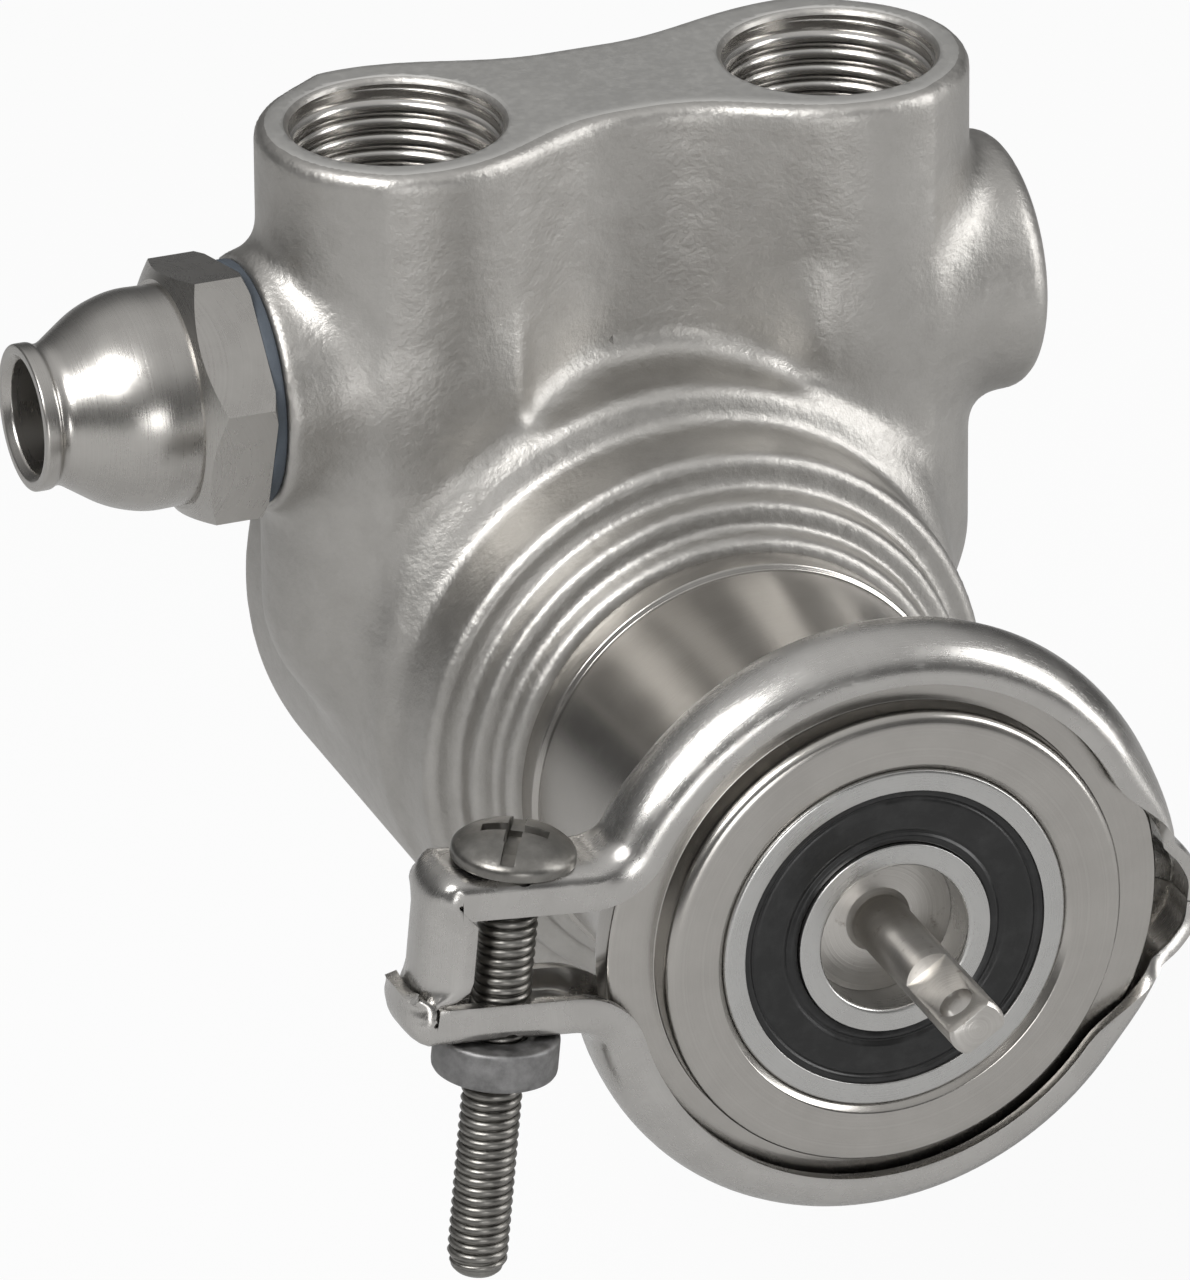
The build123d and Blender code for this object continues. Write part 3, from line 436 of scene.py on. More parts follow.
def lathe(name, outline, origin=ON_AXIS, axis="y", steps=192):
    """A closed outline of (radius, distance) turned round an axis."""
    out = Vector({"y": (0, 1, 0), "z": (0, 0, 1), "-x": (-1, 0, 0)}[axis])
    first = Vector((1, 0, 0) if axis == "z" else (0, 0, 1))
    second = out.cross(first)
    origin = Vector(origin)
    vertices = []
    rows = []
    for radius, distance in outline:
        if radius < 1e-6:
            rows.append([len(vertices)] * steps)
            vertices.append(origin + out * distance)
            continue
        rows.append(list(range(len(vertices), len(vertices) + steps)))
        for k in range(steps):
            turn = 2 * pi * k / steps
            vertices.append(
                origin + out * distance + (first * cos(turn) + second * sin(turn)) * radius
            )
    faces = []
    for row, following in zip(rows, rows[1:] + rows[:1]):
        for k in range(steps):
            j = (k + 1) % steps
            face = [row[k], row[j], following[j], following[k]]
            face = [v for i, v in enumerate(face) if v not in face[:i]]
            if len(face) > 2:
                faces.append(face)
    return clean(mesh_object(name, vertices, faces))


def prism(name, outline, low, high):
    """A plane outline (x, y) raised along z."""
    count = len(outline)
    vertices = [(p[0], p[1], low) for p in outline] + [(p[0], p[1], high) for p in outline]
    faces = [list(range(count))[::-1], list(range(count, 2 * count))]
    faces += [[k, (k + 1) % count, count + (k + 1) % count, count + k] for k in range(count)]
    return clean(mesh_object(name, vertices, faces))


def shift(x, y, z):
    """A move given in mm."""
    return Matrix.Translation((x * MM, y * MM, z * MM))


def moved(made, matrix):
    """Move the points of a mesh; its object stays at the origin."""
    made.data.transform(matrix)
    return made


def refined(node, finish, body, slot, break_edge):
    """A welded, smooth-shaded copy of a solid of the frame, standing for it."""
    made = placed(node + "_finished", frame["nodes"][node].data.copy())
    clean(made, 2e-6, outward=False)
    bevelled(made, break_edge, 30)
    return dress(made, finish, body, slot, node, sharp=32.0)


# ---- threads, wound by geometry nodes ---------------------------------------------------------


def thread_tree():
    """A ridge wound round +Z from the origin, thinning out at both ends."""
    tree = bpy.data.node_groups.new("wound_thread", "GeometryNodeTree")
    face = tree.interface
    face.new_socket("Geometry", in_out="OUTPUT", socket_type="NodeSocketGeometry")
    for name in ("Root Radius", "Pitch", "Length", "Ridge"):
        face.new_socket(name, in_out="INPUT", socket_type="NodeSocketFloat")
    face.new_socket("Finish", in_out="INPUT", socket_type="NodeSocketMaterial")
    n = Nodes(tree)
    given = tree.nodes.new("NodeGroupInput")
    size = {s.name: Field(n, s) for s in given.outputs if s.name}
    turns = size["Length"] / size["Pitch"]
    wound = n.node(
        "GeometryNodeCurveSpiral",
        {},
        {
            "Resolution": 72,
            "Rotations": turns,
            "Start Radius": size["Root Radius"],
            "End Radius": size["Root Radius"],
            "Height": size["Length"],
            "Reverse": True,
        },
    )
    upright = n.node("GeometryNodeSetCurveNormal", {"mode": "Z_UP"}, {"Curve": wound})
    part = n.node("GeometryNodeSplineParameter", {}, {}, "Factor") * turns
    ending = part.minimum(turns - part).minimum(1.0)
    tapered = n.node("GeometryNodeSetCurveRadius", {}, {"Curve": upright, "Radius": ending})
    ridge = n.node(
        "GeometryNodeCurvePrimitiveCircle", {}, {"Resolution": 6, "Radius": size["Ridge"]}
    )
    swept = n.node(
        "GeometryNodeCurveToMesh",
        {},
        {"Curve": tapered, "Profile Curve": ridge, "Fill Caps": True},
    )
    if "Scale" in swept.socket.node.inputs:
        scale = n.node("GeometryNodeInputRadius")
        tree.links.new(scale.socket, swept.socket.node.inputs["Scale"])
    solid = n.node("GeometryNodeRealizeInstances", {}, {"Geometry": swept})
    done = n.node(
        "GeometryNodeSetMaterial", {}, {"Geometry": solid, "Material": size["Finish"]}
    )
    closing = tree.nodes.new("NodeGroupOutput")
    tree.links.new(done.socket, closing.inputs["Geometry"])
    return tree


winding = thread_tree()


def thread(name, finish, radius, pitch, length, ridge):
    """A wound ridge as a plain mesh, sizes in mm."""
    made = mesh_object(name, [], [])
    step = made.modifiers.new("winding", "NODES")
    step.node_group = winding
    keys = {item.name: item.identifier for item in winding.interface.items_tree}
    step[keys["Root Radius"]] = radius * MM
    step[keys["Pitch"]] = pitch * MM
    step[keys["Length"]] = length * MM
    step[keys["Ridge"]] = ridge * MM
    step[keys["Finish"]] = finish
    evaluated(made)
    return clean(made)


# ---- cast body --------------------------------------------------------------------------------

BACK_FACE = 95.3
NOSE_STEP = (23.4, 39.9, 60, 1.3)
# Each further step of the barrel: radius, front face, rounding of its edge, reach of its fillet.
BARREL_STEPS = ((26.0, 42.6, 1.1, 1.0), (29.4, 46.4, 1.3, 1.4))
CASE_RADIUS = 30.6
CASE_FRONT = 55.0
CASE_LIFT = 2.4
CASE_FILLET = 2.4
TOWER_RADIUS = 13.8
TOWER_FOOT = 9
WEB_FRONT = 63.9
WEB_BACK = 81.9
WEB_FILLET = 9.0
BOSS_RADIUS = 12.7
BOSS_END = -38.5
BLANK_RADIUS = 13.0
BLANK_END = 41.3
BOSS_ROOT = 15
BOSS_FILLET = 3.2
BODY_FILLET = 3.4


def blended(first, second, reach):
    """Union of two distance fields with a fillet of about that reach."""
    near = np.maximum(reach - np.abs(first - second), 0) / reach
    return np.minimum(first, second) - near * near * reach / 4


def rounded_depth(side, end, rounding):
    """Distance of a form limited sideways and endways, its edge rounded."""
    a = side + rounding
    b = end + rounding
    outside = np.hypot(np.maximum(a, 0), np.maximum(b, 0))
    return np.minimum(np.maximum(a, b), 0) + outside - rounding


def cast_distance(x, y, z):
    """Distance in mm from the outside of the casting behind its neck."""

    def drum(radius, start, end, rounding, centre=0.0):
        side = np.hypot(x, z - centre) - radius
        return rounded_depth(side, np.maximum(start - y, y - end), rounding)

    barrel = drum(*NOSE_STEP)
    for radius, start, rounding, reach in BARREL_STEPS:
        barrel = blended(barrel, drum(radius, start, BACK_FACE, rounding), reach)
    case = drum(CASE_RADIUS, CASE_FRONT, BACK_FACE, 2.2, CASE_LIFT)
    barrel = blended(barrel, case, CASE_FILLET)

    aside = np.abs(x) - PORT_X
    beyond = y - PORT_Y
    towers = np.hypot(aside, beyond) - TOWER_RADIUS
    web = np.maximum(aside, np.maximum(WEB_FRONT - y, y - WEB_BACK))
    plan = blended(towers, web, WEB_FILLET)
    feet = np.sqrt(aside**2 + beyond**2 + (z - TOWER_FOOT) ** 2) - TOWER_RADIUS
    block = rounded_depth(plan, z - PORT_TOP, 1.5)
    block = np.where(z > TOWER_FOOT, block, np.maximum(feet, plan))

    across = np.hypot(beyond, z - RELIEF_Z)
    boss = rounded_depth(across - BOSS_RADIUS, np.maximum(BOSS_END - x, x + BOSS_ROOT), 0.7)
    blank = rounded_depth(across - BLANK_RADIUS, np.maximum(x - BLANK_END, BOSS_ROOT - x), 2.4)
    block = blended(block, boss, BOSS_FILLET)
    block = blended(block, blank, BOSS_FILLET)
    return np.maximum(blended(barrel, block, BODY_FILLET), y - BACK_FACE)


def skin(distance, low, high, pitch):
    """Points and quads of the zero surface of a distance field (surface nets)."""
    axes = [np.arange(a, b + pitch, pitch) for a, b in zip(low, high)]
    grid = np.meshgrid(*axes, indexing="ij", sparse=True)
    field = np.broadcast_to(distance(*grid), [len(a) for a in axes]).astype(np.float32)
    inside = field < 0
    cells = tuple(n - 1 for n in field.shape)
    total = np.zeros(cells + (3,), np.float32)
    crossings = np.zeros(cells, np.float32)
    corner_offsets = [(i, j, k) for i in (0, 1) for j in (0, 1) for k in (0, 1)]

    def corner(array, offset):
        return array[tuple(slice(o, o + c) for o, c in zip(offset, cells))]

    for a in corner_offsets:
        for axis in range(3):
            if a[axis]:
                continue
            b = tuple(o + (i == axis) for i, o in enumerate(a))
            fa, fb = corner(field, a), corner(field, b)
            crossed = corner(inside, a) != corner(inside, b)
            share = np.where(crossed, fa / np.where(crossed, fa - fb, 1), 0)
            for i in range(3):
                total[..., i] += crossed * (a[i] + (share if i == axis else 0))
            crossings += crossed
    active = crossings > 0
    number = np.full(cells, -1)
    number[active] = np.arange(active.sum())
    cell_place = np.argwhere(active)
    points = cell_place + total[active] / crossings[active][:, None]
    points = points * pitch + np.array(low)
    quads = []
    for axis in range(3):
        u, v = (axis + 1) % 3, (axis + 2) % 3
        before = [slice(1, -1)] * 3
        before[axis] = slice(0, -1)
        after = list(before)
        after[axis] = slice(1, None)
        first = inside[tuple(before)]
        change = first != inside[tuple(after)]
        where = np.argwhere(change) + 1
        where[:, axis] -= 1
        ring = []
        for du, dv in ((1, 1), (0, 1), (0, 0), (1, 0)):
            cell = where.copy()
            cell[:, u] -= du
            cell[:, v] -= dv
            ring.append(number[tuple(cell.T)])
        quad = np.stack(ring, 1)
        flip = ~first[change]
        quad[flip] = quad[flip][:, ::-1]
        quads.append(quad)
    return points, np.concatenate(quads)


GRID_LOW = (-40, 38.6, -31)
GRID_HIGH = (43, 97, 61)
GRID_PITCH = 0.56

PORT_DRILL = 7.5
PORT_THREAD = 10.48
PORT_MOUTH = 11.1
PORT_PITCH = 1.75
THREAD_FOOT = 43
THREAD_TOP = 58.4
PORT_STEPS = 144
CHAMBER_RADIUS = 24.05
GROOVE_RADIUS = 25.35
GROOVE_FRONT = 90.35
GROOVE_BACK = 91.85
MOUTH_RADIUS = 24.7
GALLERY_RADIUS = 3.6
SEAT_POCKET = 7.4
VALVE_BORE = 6.3
CAP_THREAD = 8.45

# Outlines of (radius, distance) that are cut out of the casting.
PORT_BORE = (
    (0, 14),
    (PORT_DRILL, 14),
    (PORT_DRILL, 41),
    (PORT_THREAD, THREAD_FOOT),
    (PORT_THREAD, THREAD_TOP),
    (PORT_MOUTH, 59.05),
    (PORT_MOUTH, 61),
    (0, 61),
)
CHAMBER = (
    (0, 48.5),
    (CHAMBER_RADIUS, 48.5),
    (CHAMBER_RADIUS, GROOVE_FRONT),
    (GROOVE_RADIUS, GROOVE_FRONT),
    (GROOVE_RADIUS, GROOVE_BACK),
    (CHAMBER_RADIUS, GROOVE_BACK),
    (CHAMBER_RADIUS, 94.7),
    (MOUTH_RADIUS, 95.35),
    (MOUTH_RADIUS, 99),
    (0, 99),
)
RELIEF_BORE = (
    (0, -22),
    (GALLERY_RADIUS, -22),
    (GALLERY_RADIUS, 3),
    (SEAT_POCKET, 3),
    (SEAT_POCKET, 7),
    (VALVE_BORE, 7),
    (VALVE_BORE, 27.5),
    (CAP_THREAD, 27.5),
    (CAP_THREAD, 40),
    (0, 40),
)

points, quads = skin(cast_distance, GRID_LOW, GRID_HIGH, GRID_PITCH)
casting = clean(mesh_object("casting", points, quads.tolist()))
for port_x in (-PORT_X, PORT_X):
    combine(casting, lathe("port_tool", PORT_BORE, (port_x, PORT_Y, 0), "z", PORT_STEPS))
combine(casting, lathe("chamber_tool", CHAMBER))
combine(casting, lathe("relief_tool", RELIEF_BORE, RELIEF_AT, "-x", 96))
dress(casting, finishes["cast_stainless"], "housing", "cast_stainless", "pump_body", sharp=50)

BEARING_BORE = 17.52
BEARING_SEAT = 9.35
LIP_FRONT = -2.0
LIP_RADIUS = 23.4
FLANGE_FACE = 1.3
FLANGE_RADIUS = 28.2
NECK_RADIUS = 21.5
NECK_RING = 22.0
NECK_END = 41.5

nose = lathe(
    "flange_and_neck",
    corners(
        [
            (0, BEARING_SEAT, 0), (BEARING_BORE, BEARING_SEAT, 0), (BEARING_BORE, -1.35, 0.1),
            (18.2, LIP_FRONT, 0.15), (LIP_RADIUS, LIP_FRONT, 1.3), (LIP_RADIUS, FLANGE_FACE, 0.15),
            (FLANGE_RADIUS, FLANGE_FACE, 0.5), (FLANGE_RADIUS, 4.6, 0.4), (NECK_RADIUS, 9.28, 1.2),
            (NECK_RADIUS, 36.8, 0.1), (NECK_RING, 37.1, 0.15), (NECK_RING, NECK_END, 0),
            (0, NECK_END, 0),
        ],
        0.2,
    ),
    steps=256,
)
dress(nose, neck_finish, "housing", "cast_stainless")

for name, port_x in (("inlet_thread", -PORT_X), ("outlet_thread", PORT_X)):
    wound = thread(name, thread_finish, PORT_THREAD, PORT_PITCH, 14.6, 0.93)
    moved(wound, shift(port_x, PORT_Y, THREAD_FOOT + 0.4))
    dress(wound, thread_finish, "housing", "cast_stainless", sharp=70)
    low, high = THREAD_FOOT - 0.1, THREAD_TOP - 0.1
    wall = lathe(
        name + "_wall",
        [(10.47, low), (10.6, low), (10.6, high), (10.47, high)],
        (port_x, PORT_Y, 0),
        "z",
        PORT_STEPS,
    )
    dress(wall, thread_finish, "housing", "cast_stainless")


# ---- bearing and shaft ------------------------------------------------------------------------

RACE_FACE = -1.7
RACE_BACK = 9.3
RACE_STEP = -0.2
OUTER_LAND = 15.3
OUTER_RADIUS = 17.5
INNER_BORE = 7.5
INNER_LAND = 9.75
SEAL_RIM = 14.5
SEAL_BACK = -0.55

outer_race = lathe(
    "outer_race",
    corners(
        [
            (OUTER_LAND, RACE_FACE, 0.12), (OUTER_RADIUS, RACE_FACE, 0.45),
            (OUTER_RADIUS, RACE_BACK), (SEAL_RIM, RACE_BACK), (SEAL_RIM, 3.8),
            (SEAL_RIM, RACE_STEP), (OUTER_LAND, RACE_STEP),
        ],
        0.1,
    ),
)
dress(outer_race, finishes["bearing_steel"], "housing", "bearing_steel", "bearing_outer_race")
inner_race = lathe(
    "inner_race",
    corners(
        [
            (INNER_BORE, RACE_FACE, 0.5), (INNER_LAND, RACE_FACE, 0.12),
            (INNER_LAND, RACE_STEP), (10.6, RACE_STEP), (10.6, RACE_BACK),
            (INNER_BORE, RACE_BACK),
        ],
        0.1,
    ),
)
dress(inner_race, finishes["bearing_steel"], "shaft", "bearing_steel", "bearing_inner_race")
front_seal = lathe(
    "front_seal",
    corners(
        [
            (9.8, SEAL_BACK), (9.8, -1.25, 0.2), (10.5, -1.45, 0.15), (10.9, -1.12, 0.15),
            (11.4, -1.42, 0.2), (14.2, -1.42, 0.3), (SEAL_RIM, -1.2, 0.1), (14.75, -1.45, 0.15),
            (OUTER_LAND, -1.45, 0.1), (OUTER_LAND, SEAL_BACK),
        ],
        0.1,
    ),
)
dress(front_seal, finishes["seal_rubber"], "housing", "seal_rubber", "bearing_front_seal")
refined("drive_shaft", finishes["shaft_steel"], "shaft", "shaft_steel", 0.12)


# ---- relief valve -----------------------------------------------------------------------------

CAP_FACE = 39.8
CAP_OUTER = 46.6
HEX_FLATS = 24.0
HEX_TURN = radians(12)
CHAMFER_RADIUS = 13.88
ADJUSTER_BORE = 4.05
GASKET_INNER = 8.6
GASKET_OUTER = 12.1
GASKET_BACK = 38.5
ALONG_MINUS_X = Matrix(((0, 0, -1, 0), (-1, 0, 0, 0), (0, 1, 0, 0), (0, 0, 0, 1)))

hex_corner = HEX_FLATS / 2 / cos(pi / 6)
hex_turns = [HEX_TURN + k * pi / 3 for k in range(6)]
hexagon = prism(
    "relief_cap_finished",
    [(hex_corner * cos(turn), hex_corner * sin(turn)) for turn in hex_turns],
    CAP_FACE,
    CAP_OUTER,
)
moved(hexagon, shift(*RELIEF_AT) @ ALONG_MINUS_X)
clean(hexagon)
chamfer = lathe(
    "hex_chamfer",
    [
        (0, CAP_FACE - 0.8), (13.0, CAP_FACE - 0.8), (13.0, CAP_FACE), (CHAMFER_RADIUS, 40.3),
        (CHAMFER_RADIUS, 45.0), (11.3, CAP_OUTER), (0, CAP_OUTER + 0.02),
    ],
    RELIEF_AT,
    "-x",
)
combine(hexagon, chamfer, "INTERSECT")
dome = lathe(
    "dome",
    corners(
        [
            (ADJUSTER_BORE, 43.5, 0), (7.0, 43.5, 0), (10.85, 46.3, 0), (10.85, 47.6, 1.0),
            (10.95, 50.6, 1.6), (9.9, 54.2, 2.0), (7.9, 57.2, 1.6), (6.95, 58.6, 0.8),
            (6.95, 59.5, 0.4), (7.25, 59.9, 0.3), (7.25, 61.4, 0.35), (6.3, 61.4, 0.15),
            (5.6, 60.7, 0.2), (5.6, 51.5, 0), (ADJUSTER_BORE, 51.5, 0),
        ],
        0.2,
        steps=8,
    ),
    RELIEF_AT,
    "-x",
)
join(hexagon, dome)
dress(hexagon, finishes["turned_stainless"], "housing", "turned_stainless", "relief_cap", sharp=28)
gasket = lathe(
    "relief_cap_gasket_finished",
    corners(
        [
            (GASKET_INNER, GASKET_BACK), (GASKET_OUTER, GASKET_BACK), (GASKET_OUTER, CAP_FACE),
            (GASKET_INNER, CAP_FACE),
        ],
        0.3,
    ),
    RELIEF_AT,
    "-x",
)
dress(gasket, finishes["gasket_fibre"], "housing", "gasket_fibre", "relief_cap_gasket")
refined("relief_adjuster", finishes["turned_stainless"], "adjuster", "turned_stainless", 0.1)


# ---- clamp ------------------------------------------------------------------------------------

CLAMP_TURN = radians(5.6)
SHEET = 1.2
CROWN = 29.7
UPPER_EAR = 8.6
LOWER_EAR = 7.7
UPPER_WALL = 13.4
LOWER_WALL = 5.0
EAR_BLEND = 4.0
EAR_END = 47.0
WALL_BEND = 2.4
WALL_TAPER = 2.6
FRONT = 0.0
REAR = 8.3
LOOP_REACH = 32.2
LOOP_SPREAD = radians(12)
LOOP_FADE = radians(20)
EAR_FADE = radians(16)
EAR_SHARE = 0.35
SCREW_AT = (-38.0, 3.1, 0)
EAR_HOLE = ((0, 0), (3.6, 0), (3.6, 14), (0, 14))
to_pump = Matrix.Rotation(CLAMP_TURN, 4, "Y")

# Corners of the sheet's section: depth inward and station along Y.
RING_FORM = ((3.9, FRONT), (2.0, FRONT), (0, 2.4), (0, 6.0), (4.4, REAR))
EAR_FORM = ((3.6, FRONT), (1.9, FRONT), (0, FRONT), (0, REAR), (3.1, REAR))
WALL_FORM = ((4.0, FRONT), (2.4, FRONT), (0, 1.8), (0, 5.4), (1.0, 7.6))
LOOP_FORM = ((0.3, 0.6), (0.2, 0.9), (0, 1.4), (0, 5.6), (2.6, REAR))


def sheet_section(form, bend):
    """The middle line of the sheet's section, with rounded corners."""
    return np.array(corners(form, bend, closed=False, steps=5))


ring_form = sheet_section(RING_FORM, 1.5)
ear_form = sheet_section(EAR_FORM, 2.0)
wall_form = sheet_section(WALL_FORM, 2.4)
loop_form = sheet_section(LOOP_FORM, 0.4)


def lerp(a, b, t):
    return a + (b - a) * t


def eased(t):
    """A smooth step from 0 to 1."""
    t = min(max(t, 0.0), 1.0)
    return t * t * (3 - 2 * t)


# A station is a place in the XZ plane, the outward direction there and the section's form.


def loop_stations():
    """The spring loop opposite the screw, from its middle to the ring."""
    root = (CROWN * cos(LOOP_SPREAD), CROWN * sin(LOOP_SPREAD))
    path = corners(
        [(LOOP_REACH, 0.06), (LOOP_REACH, 2.4), (LOOP_REACH - 1.6, 4.9), root],
        1.3,
        closed=False,
        steps=6,
    )
    stations = []
    for place, ahead in zip(path, path[1:]):
        along = (ahead - place) / np.linalg.norm(ahead - place)
        stations.append((place, np.array((along[1], -along[0])), loop_form))
    return stations


def ring_stations(swing):
    """The ring, from the loop to where it starts to turn out to the ear."""
    stations = []
    for angle in np.linspace(LOOP_SPREAD, pi - swing, 60):
        out = np.array((cos(angle), sin(angle)))
        form = lerp(loop_form, ring_form, eased((angle - LOOP_SPREAD) / LOOP_FADE))
        opening = eased((angle - (pi - swing - EAR_FADE)) / EAR_FADE)
        form = lerp(form, ear_form, EAR_SHARE * opening)
        stations.append((out * CROWN, out, form))
    return stations


def blend_stations(swing, centre):
    """The turn from the ring into the ear."""
    stations = []
    for t in np.linspace(0, 1, 9)[1:]:
        angle = lerp(-swing, -pi / 2, t)
        inward = np.array((cos(angle), sin(angle)))
        form = lerp(ring_form, ear_form, EAR_SHARE + (1 - EAR_SHARE) * eased(t))
        stations.append((centre + inward * EAR_BLEND, -inward, form))
    return stations


def ear_stations(start, end, height):
    """The flat ear and the bend at its end."""
    up = np.array((0.0, 1.0))
    stations = []
    for x in np.linspace(start, end + WALL_BEND, 8)[1:]:
        stations.append((np.array((x, height)), up, ear_form))
    centre = np.array((end + WALL_BEND, height - WALL_BEND))
    for t in np.linspace(0, 1, 8)[1:]:
        angle = pi / 2 * (1 + t)
        out = np.array((cos(angle), sin(angle)))
        form = lerp(ear_form, wall_form, eased(t))
        form[:, 0] *= WALL_BEND * lerp(0.9, 0.72, sin(pi * t)) / form[:, 0].max()
        stations.append((centre + out * WALL_BEND, out, form))
    return stations


def wall_stations(end, top, foot):
    """The end wall, its rims drawn in towards its foot."""
    left = np.array((-1.0, 0.0))
    middle = (FRONT + REAR) / 2
    stations = []
    for z in np.linspace(top, foot, 12)[1:]:
        form = wall_form.copy()
        form[:, 0] *= lerp(WALL_BEND * 0.9 / form[:, 0].max(), 1.0, eased((top - z) / 2.0))
        rest = z - foot
        if rest < WALL_TAPER:
            share = (1 - rest / WALL_TAPER) ** 2
            form[:, 0] *= 1 - 0.85 * share
            form[:, 1] = middle + (form[:, 1] - middle) * (1 - 0.16 * share)
        stations.append((np.array((end, z)), left, form))
    return stations


def sheet_through(name, stations):
    """A bent sheet of even thickness through the forms of its stations."""
    vertices = []
    for place, normal, form in stations:
        for depth, y in form:
            at = place - normal * depth
            vertices.append((at[0], y, at[1]))
    across = len(ring_form)
    faces = []
    for i in range(len(stations) - 1):
        for j in range(across - 1):
            a = i * across + j
            faces.append([a, a + 1, a + across + 1, a + across])
    made = mesh_object(name, vertices, faces)
    step = made.modifiers.new("sheet", "SOLIDIFY")
    step.thickness = SHEET * MM
    step.offset = 0
    step.use_quality_normals = True
    evaluated(made)
    return clean(made, 1e-6)


def band(name, ear_height, wall_depth, stand_off):
    """Half of the clamp: loop, ring, blend, ear and end wall as one bent sheet."""
    lift = ear_height + EAR_BLEND
    swing = asin(lift / (CROWN + EAR_BLEND))
    blend_x = -(CROWN + EAR_BLEND) * cos(swing)
    wall_x = -(EAR_END + stand_off - SHEET / 2)
    made = sheet_through(
        name,
        loop_stations()
        + ring_stations(swing)
        + blend_stations(swing, np.array((blend_x, lift)))
        + ear_stations(blend_x, wall_x, ear_height)
        + wall_stations(wall_x, ear_height - WALL_BEND, ear_height + SHEET / 2 - wall_depth),
    )
    combine(made, lathe("ear_hole", EAR_HOLE, SCREW_AT, "z", 64))
    return bevelled(made, 0.16, 50)


upper = band("clamp_upper_finished", UPPER_EAR, UPPER_WALL, 0)
moved(upper, to_pump)
sheet_finish = finishes["polished_sheet"]
dress(upper, sheet_finish, "clamp_upper", "polished_sheet", "clamp_upper_band", sharp=45)
lower = band("clamp_lower_finished", LOWER_EAR, LOWER_WALL, SHEET + 0.3)
moved(lower, to_pump @ Matrix.Scale(-1, 4, (0, 0, 1)))
clean(lower)
dress(lower, sheet_finish, "clamp_lower", "polished_sheet", "clamp_lower_band", sharp=45)

HEAD = 9.55
HEAD_TOP = HEAD + 3.4
HEAD_RADIUS = 6.0
SCREW_TIP = -33.6
SHANK_RADIUS = 2.5
SCREW_PITCH = 1.0
SLOT_TURN = radians(62)
# Each cut of the drive: length, width and depth below the crown.
DRIVE_CUTS = (("slot", 14.0, 1.35, 1.9), ("cross_a", 5.6, 1.6, 2.5), ("cross_b", 1.6, 6.4, 2.5))
NUT_TOP = -8.4
NUT_FOOT = -12.4
NUT_BORE = 3.0
NUT_RADIUS = 6.05

screw = lathe(
    "clamp_screw_finished",
    corners(
        [
            (0, SCREW_TIP, 0), (1.9, SCREW_TIP, 0.3), (SHANK_RADIUS, SCREW_TIP + 0.6, 0.2),
            (SHANK_RADIUS, 9.0, 0), (SHANK_RADIUS, HEAD, 0.1), (HEAD_RADIUS, HEAD, 0.2),
            (HEAD_RADIUS, HEAD + 1.1, 0.45), (4.9, HEAD + 2.1, 1.2), (2.6, HEAD + 2.95, 1.2),
            (0, HEAD + 3.2, 0),
        ],
        0.1,
        steps=6,
    ),
    SCREW_AT,
    "z",
    96,
)
slot_turn = shift(*SCREW_AT) @ Matrix.Rotation(SLOT_TURN, 4, "Z")
for name, long, wide, deep in DRIVE_CUTS:
    x, y = long / 2, wide / 2
    tool = prism(name, [(-x, -y), (x, -y), (x, y), (-x, y)], HEAD_TOP - deep, HEAD + 5)
    combine(screw, moved(tool, slot_turn))
bevelled(screw, 0.1, 40)
moved(screw, to_pump)
screw_finish = finishes["screw_steel"]
dress(screw, screw_finish, "clamp_screw_body", "screw_steel", "clamp_screw", sharp=35)
thread_length = HEAD - SCREW_TIP - 1.2
wound = thread("clamp_screw_thread", screw_finish, 2.42, SCREW_PITCH, thread_length, 0.5)
moved(wound, to_pump @ shift(SCREW_AT[0], SCREW_AT[1], SCREW_TIP + 0.6))
dress(wound, screw_finish, "clamp_screw_body", "screw_steel", sharp=70)

nut = lathe(
    "clamp_nut_finished",
    corners(
        [
            (NUT_BORE, NUT_TOP, 0.3), (NUT_RADIUS, NUT_TOP, 0.5), (NUT_RADIUS, NUT_FOOT, 0.7),
            (NUT_BORE, NUT_FOOT, 0.3),
        ],
        0.3,
    ),
    SCREW_AT,
    "z",
    128,
)
moved(nut, to_pump)
dress(nut, finishes["nut_steel"], "clamp_nut_body", "nut_steel", "clamp_nut")


# ---- rear cover and the other solids of the frame ---------------------------------------------

refined("rear_cover", finishes["turned_stainless"], "housing", "turned_stainless", 0.15)
refined("rear_snap_ring", finishes["spring_steel"], "housing", "spring_steel", 0.1)
slots = {part["node"]: part["material_slot"] for part in frame["record"]["subparts"]}
for node, solid in frame["nodes"].items():
    for place in solid.material_slots:
        place.material = finishes[slots[node]]
    if not solid.material_slots:
        solid.data.materials.append(finishes[slots[node]])


# ---- studio -----------------------------------------------------------------------------------

AZIMUTH = radians(-21.05)
ELEVATION = radians(25.50)
ROLL = radians(0.46)
TARGET = Vector((-30.29, -1.7, 36.77)) * MM
DISTANCE = 1413 * MM
FOCAL_SHARE = 15173 / 1190
SENSOR = 36
FLOOR_Z = -75
FLOOR_REACH = 3000
WHITE = (1, 1, 1, 1)
LIT_POINT = (0, 40, 15)
# Brightness of the surroundings from straight below to straight above.
DOME = ((0.0, 0.07), (0.45, 0.10), (0.62, 0.17), (0.74, 0.34), (0.86, 0.80), (1.0, 0.95))

stage = bpy.context.scene
stage.view_settings.view_transform = "Standard"

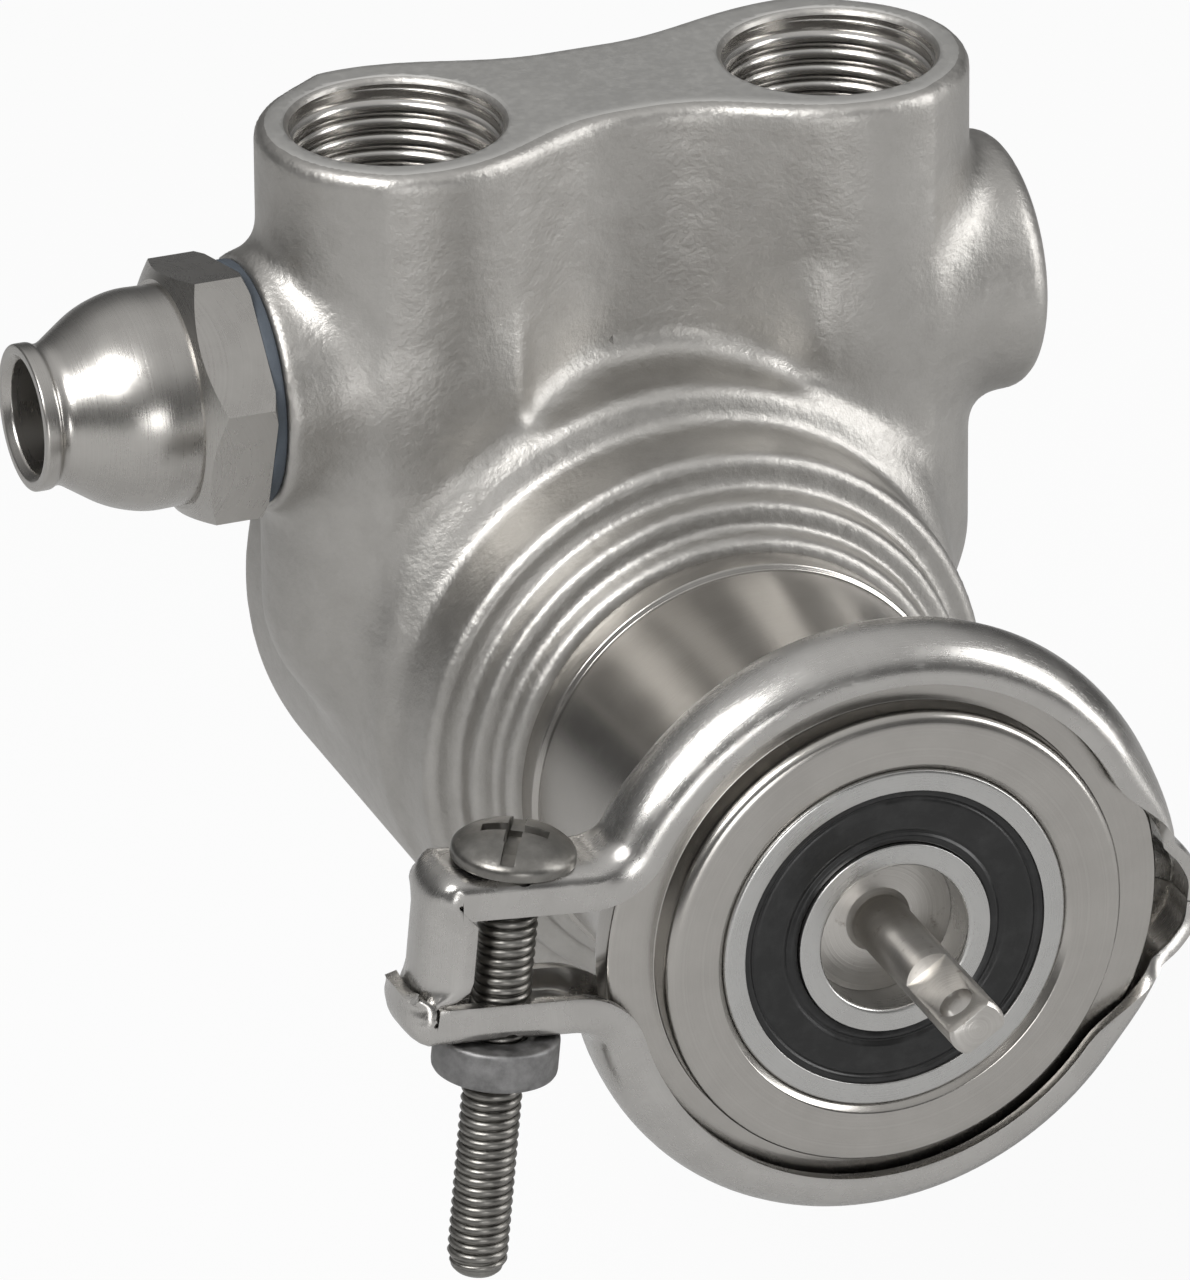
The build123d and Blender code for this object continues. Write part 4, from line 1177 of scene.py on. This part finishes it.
back = Vector((sin(AZIMUTH) * cos(ELEVATION), -cos(AZIMUTH) * cos(ELEVATION), sin(ELEVATION)))
right = Vector((cos(AZIMUTH), sin(AZIMUTH), 0))
above = back.cross(right)
lens = bpy.data.cameras.new("camera")
lens.sensor_fit = "HORIZONTAL"
lens.sensor_width = SENSOR
lens.lens = SENSOR * FOCAL_SHARE
lens.clip_end = 20
camera = placed("camera", lens)
turn = Matrix((right, above, back)).transposed().to_4x4()
camera.matrix_world = (
    Matrix.Translation(TARGET + back * DISTANCE) @ turn @ Matrix.Rotation(-ROLL, 4, "Z")
)
stage.camera = camera

floor_corners = [
    (x * FLOOR_REACH, y * FLOOR_REACH, FLOOR_Z) for x, y in ((-1, -1), (1, -1), (1, 1), (-1, 1))
]
floor = mesh_object("floor", floor_corners, [[0, 1, 2, 3]])
paper = Finish("paper_floor")
seen = paper.node("ShaderNodeLightPath", {}, {}, "Is Camera Ray")
matte = paper.node("ShaderNodeBsdfDiffuse", {}, {"Color": (0.55, 0.55, 0.55, 1)})
lit = paper.node("ShaderNodeEmission", {}, {"Color": WHITE, "Strength": 1.0})
mixed = paper.node("ShaderNodeMixShader", {}, {0: seen * 0.93, 1: matte, 2: lit})
paper.node("ShaderNodeOutputMaterial", {}, {"Surface": mixed})
floor.data.materials.append(paper.material)

world = bpy.data.worlds.new("studio")
world.use_nodes = True
stage.world = world
world.node_tree.nodes.clear()
sky = Nodes(world.node_tree)
seen = sky.node("ShaderNodeLightPath", {}, {}, "Is Camera Ray")
direction = sky.node("ShaderNodeTexCoord", {}, {}, "Generated")
height = sky.node("ShaderNodeSeparateXYZ", {}, {0: direction}, 2)
dome_light = sky.node("ShaderNodeValToRGB", {"stops": DOME}, {0: height * 0.5 + 0.5})
shown = sky.node("ShaderNodeBackground", {}, {"Color": WHITE, "Strength": 1.0})
lighting = sky.node("ShaderNodeBackground", {}, {"Color": dome_light, "Strength": 0.75})
mixed = sky.node("ShaderNodeMixShader", {}, {0: seen, 1: lighting, 2: shown})
sky.node("ShaderNodeOutputWorld", {}, {"Surface": mixed})


def soft_box(name, place, size, power):
    """A rectangular soft light that faces the pump; places and sizes in mm."""
    lamp = bpy.data.lights.new(name, "AREA")
    lamp.shape = "RECTANGLE"
    lamp.size = size[0] * MM
    lamp.size_y = size[1] * MM
    lamp.energy = power
    made = placed(name, lamp)
    made.location = Vector(place) * MM
    away = (made.location - Vector(LIT_POINT) * MM).normalized()
    made.rotation_mode = "QUATERNION"
    made.rotation_quaternion = away.to_track_quat("Z", "Y")


soft_box("key_light", (-520, -260, 620), (420, 420), 6.5)
soft_box("side_light", (620, -240, 260), (220, 620), 2.6)
soft_box("front_light", (-120, -900, 40), (300, 300), 1.5)
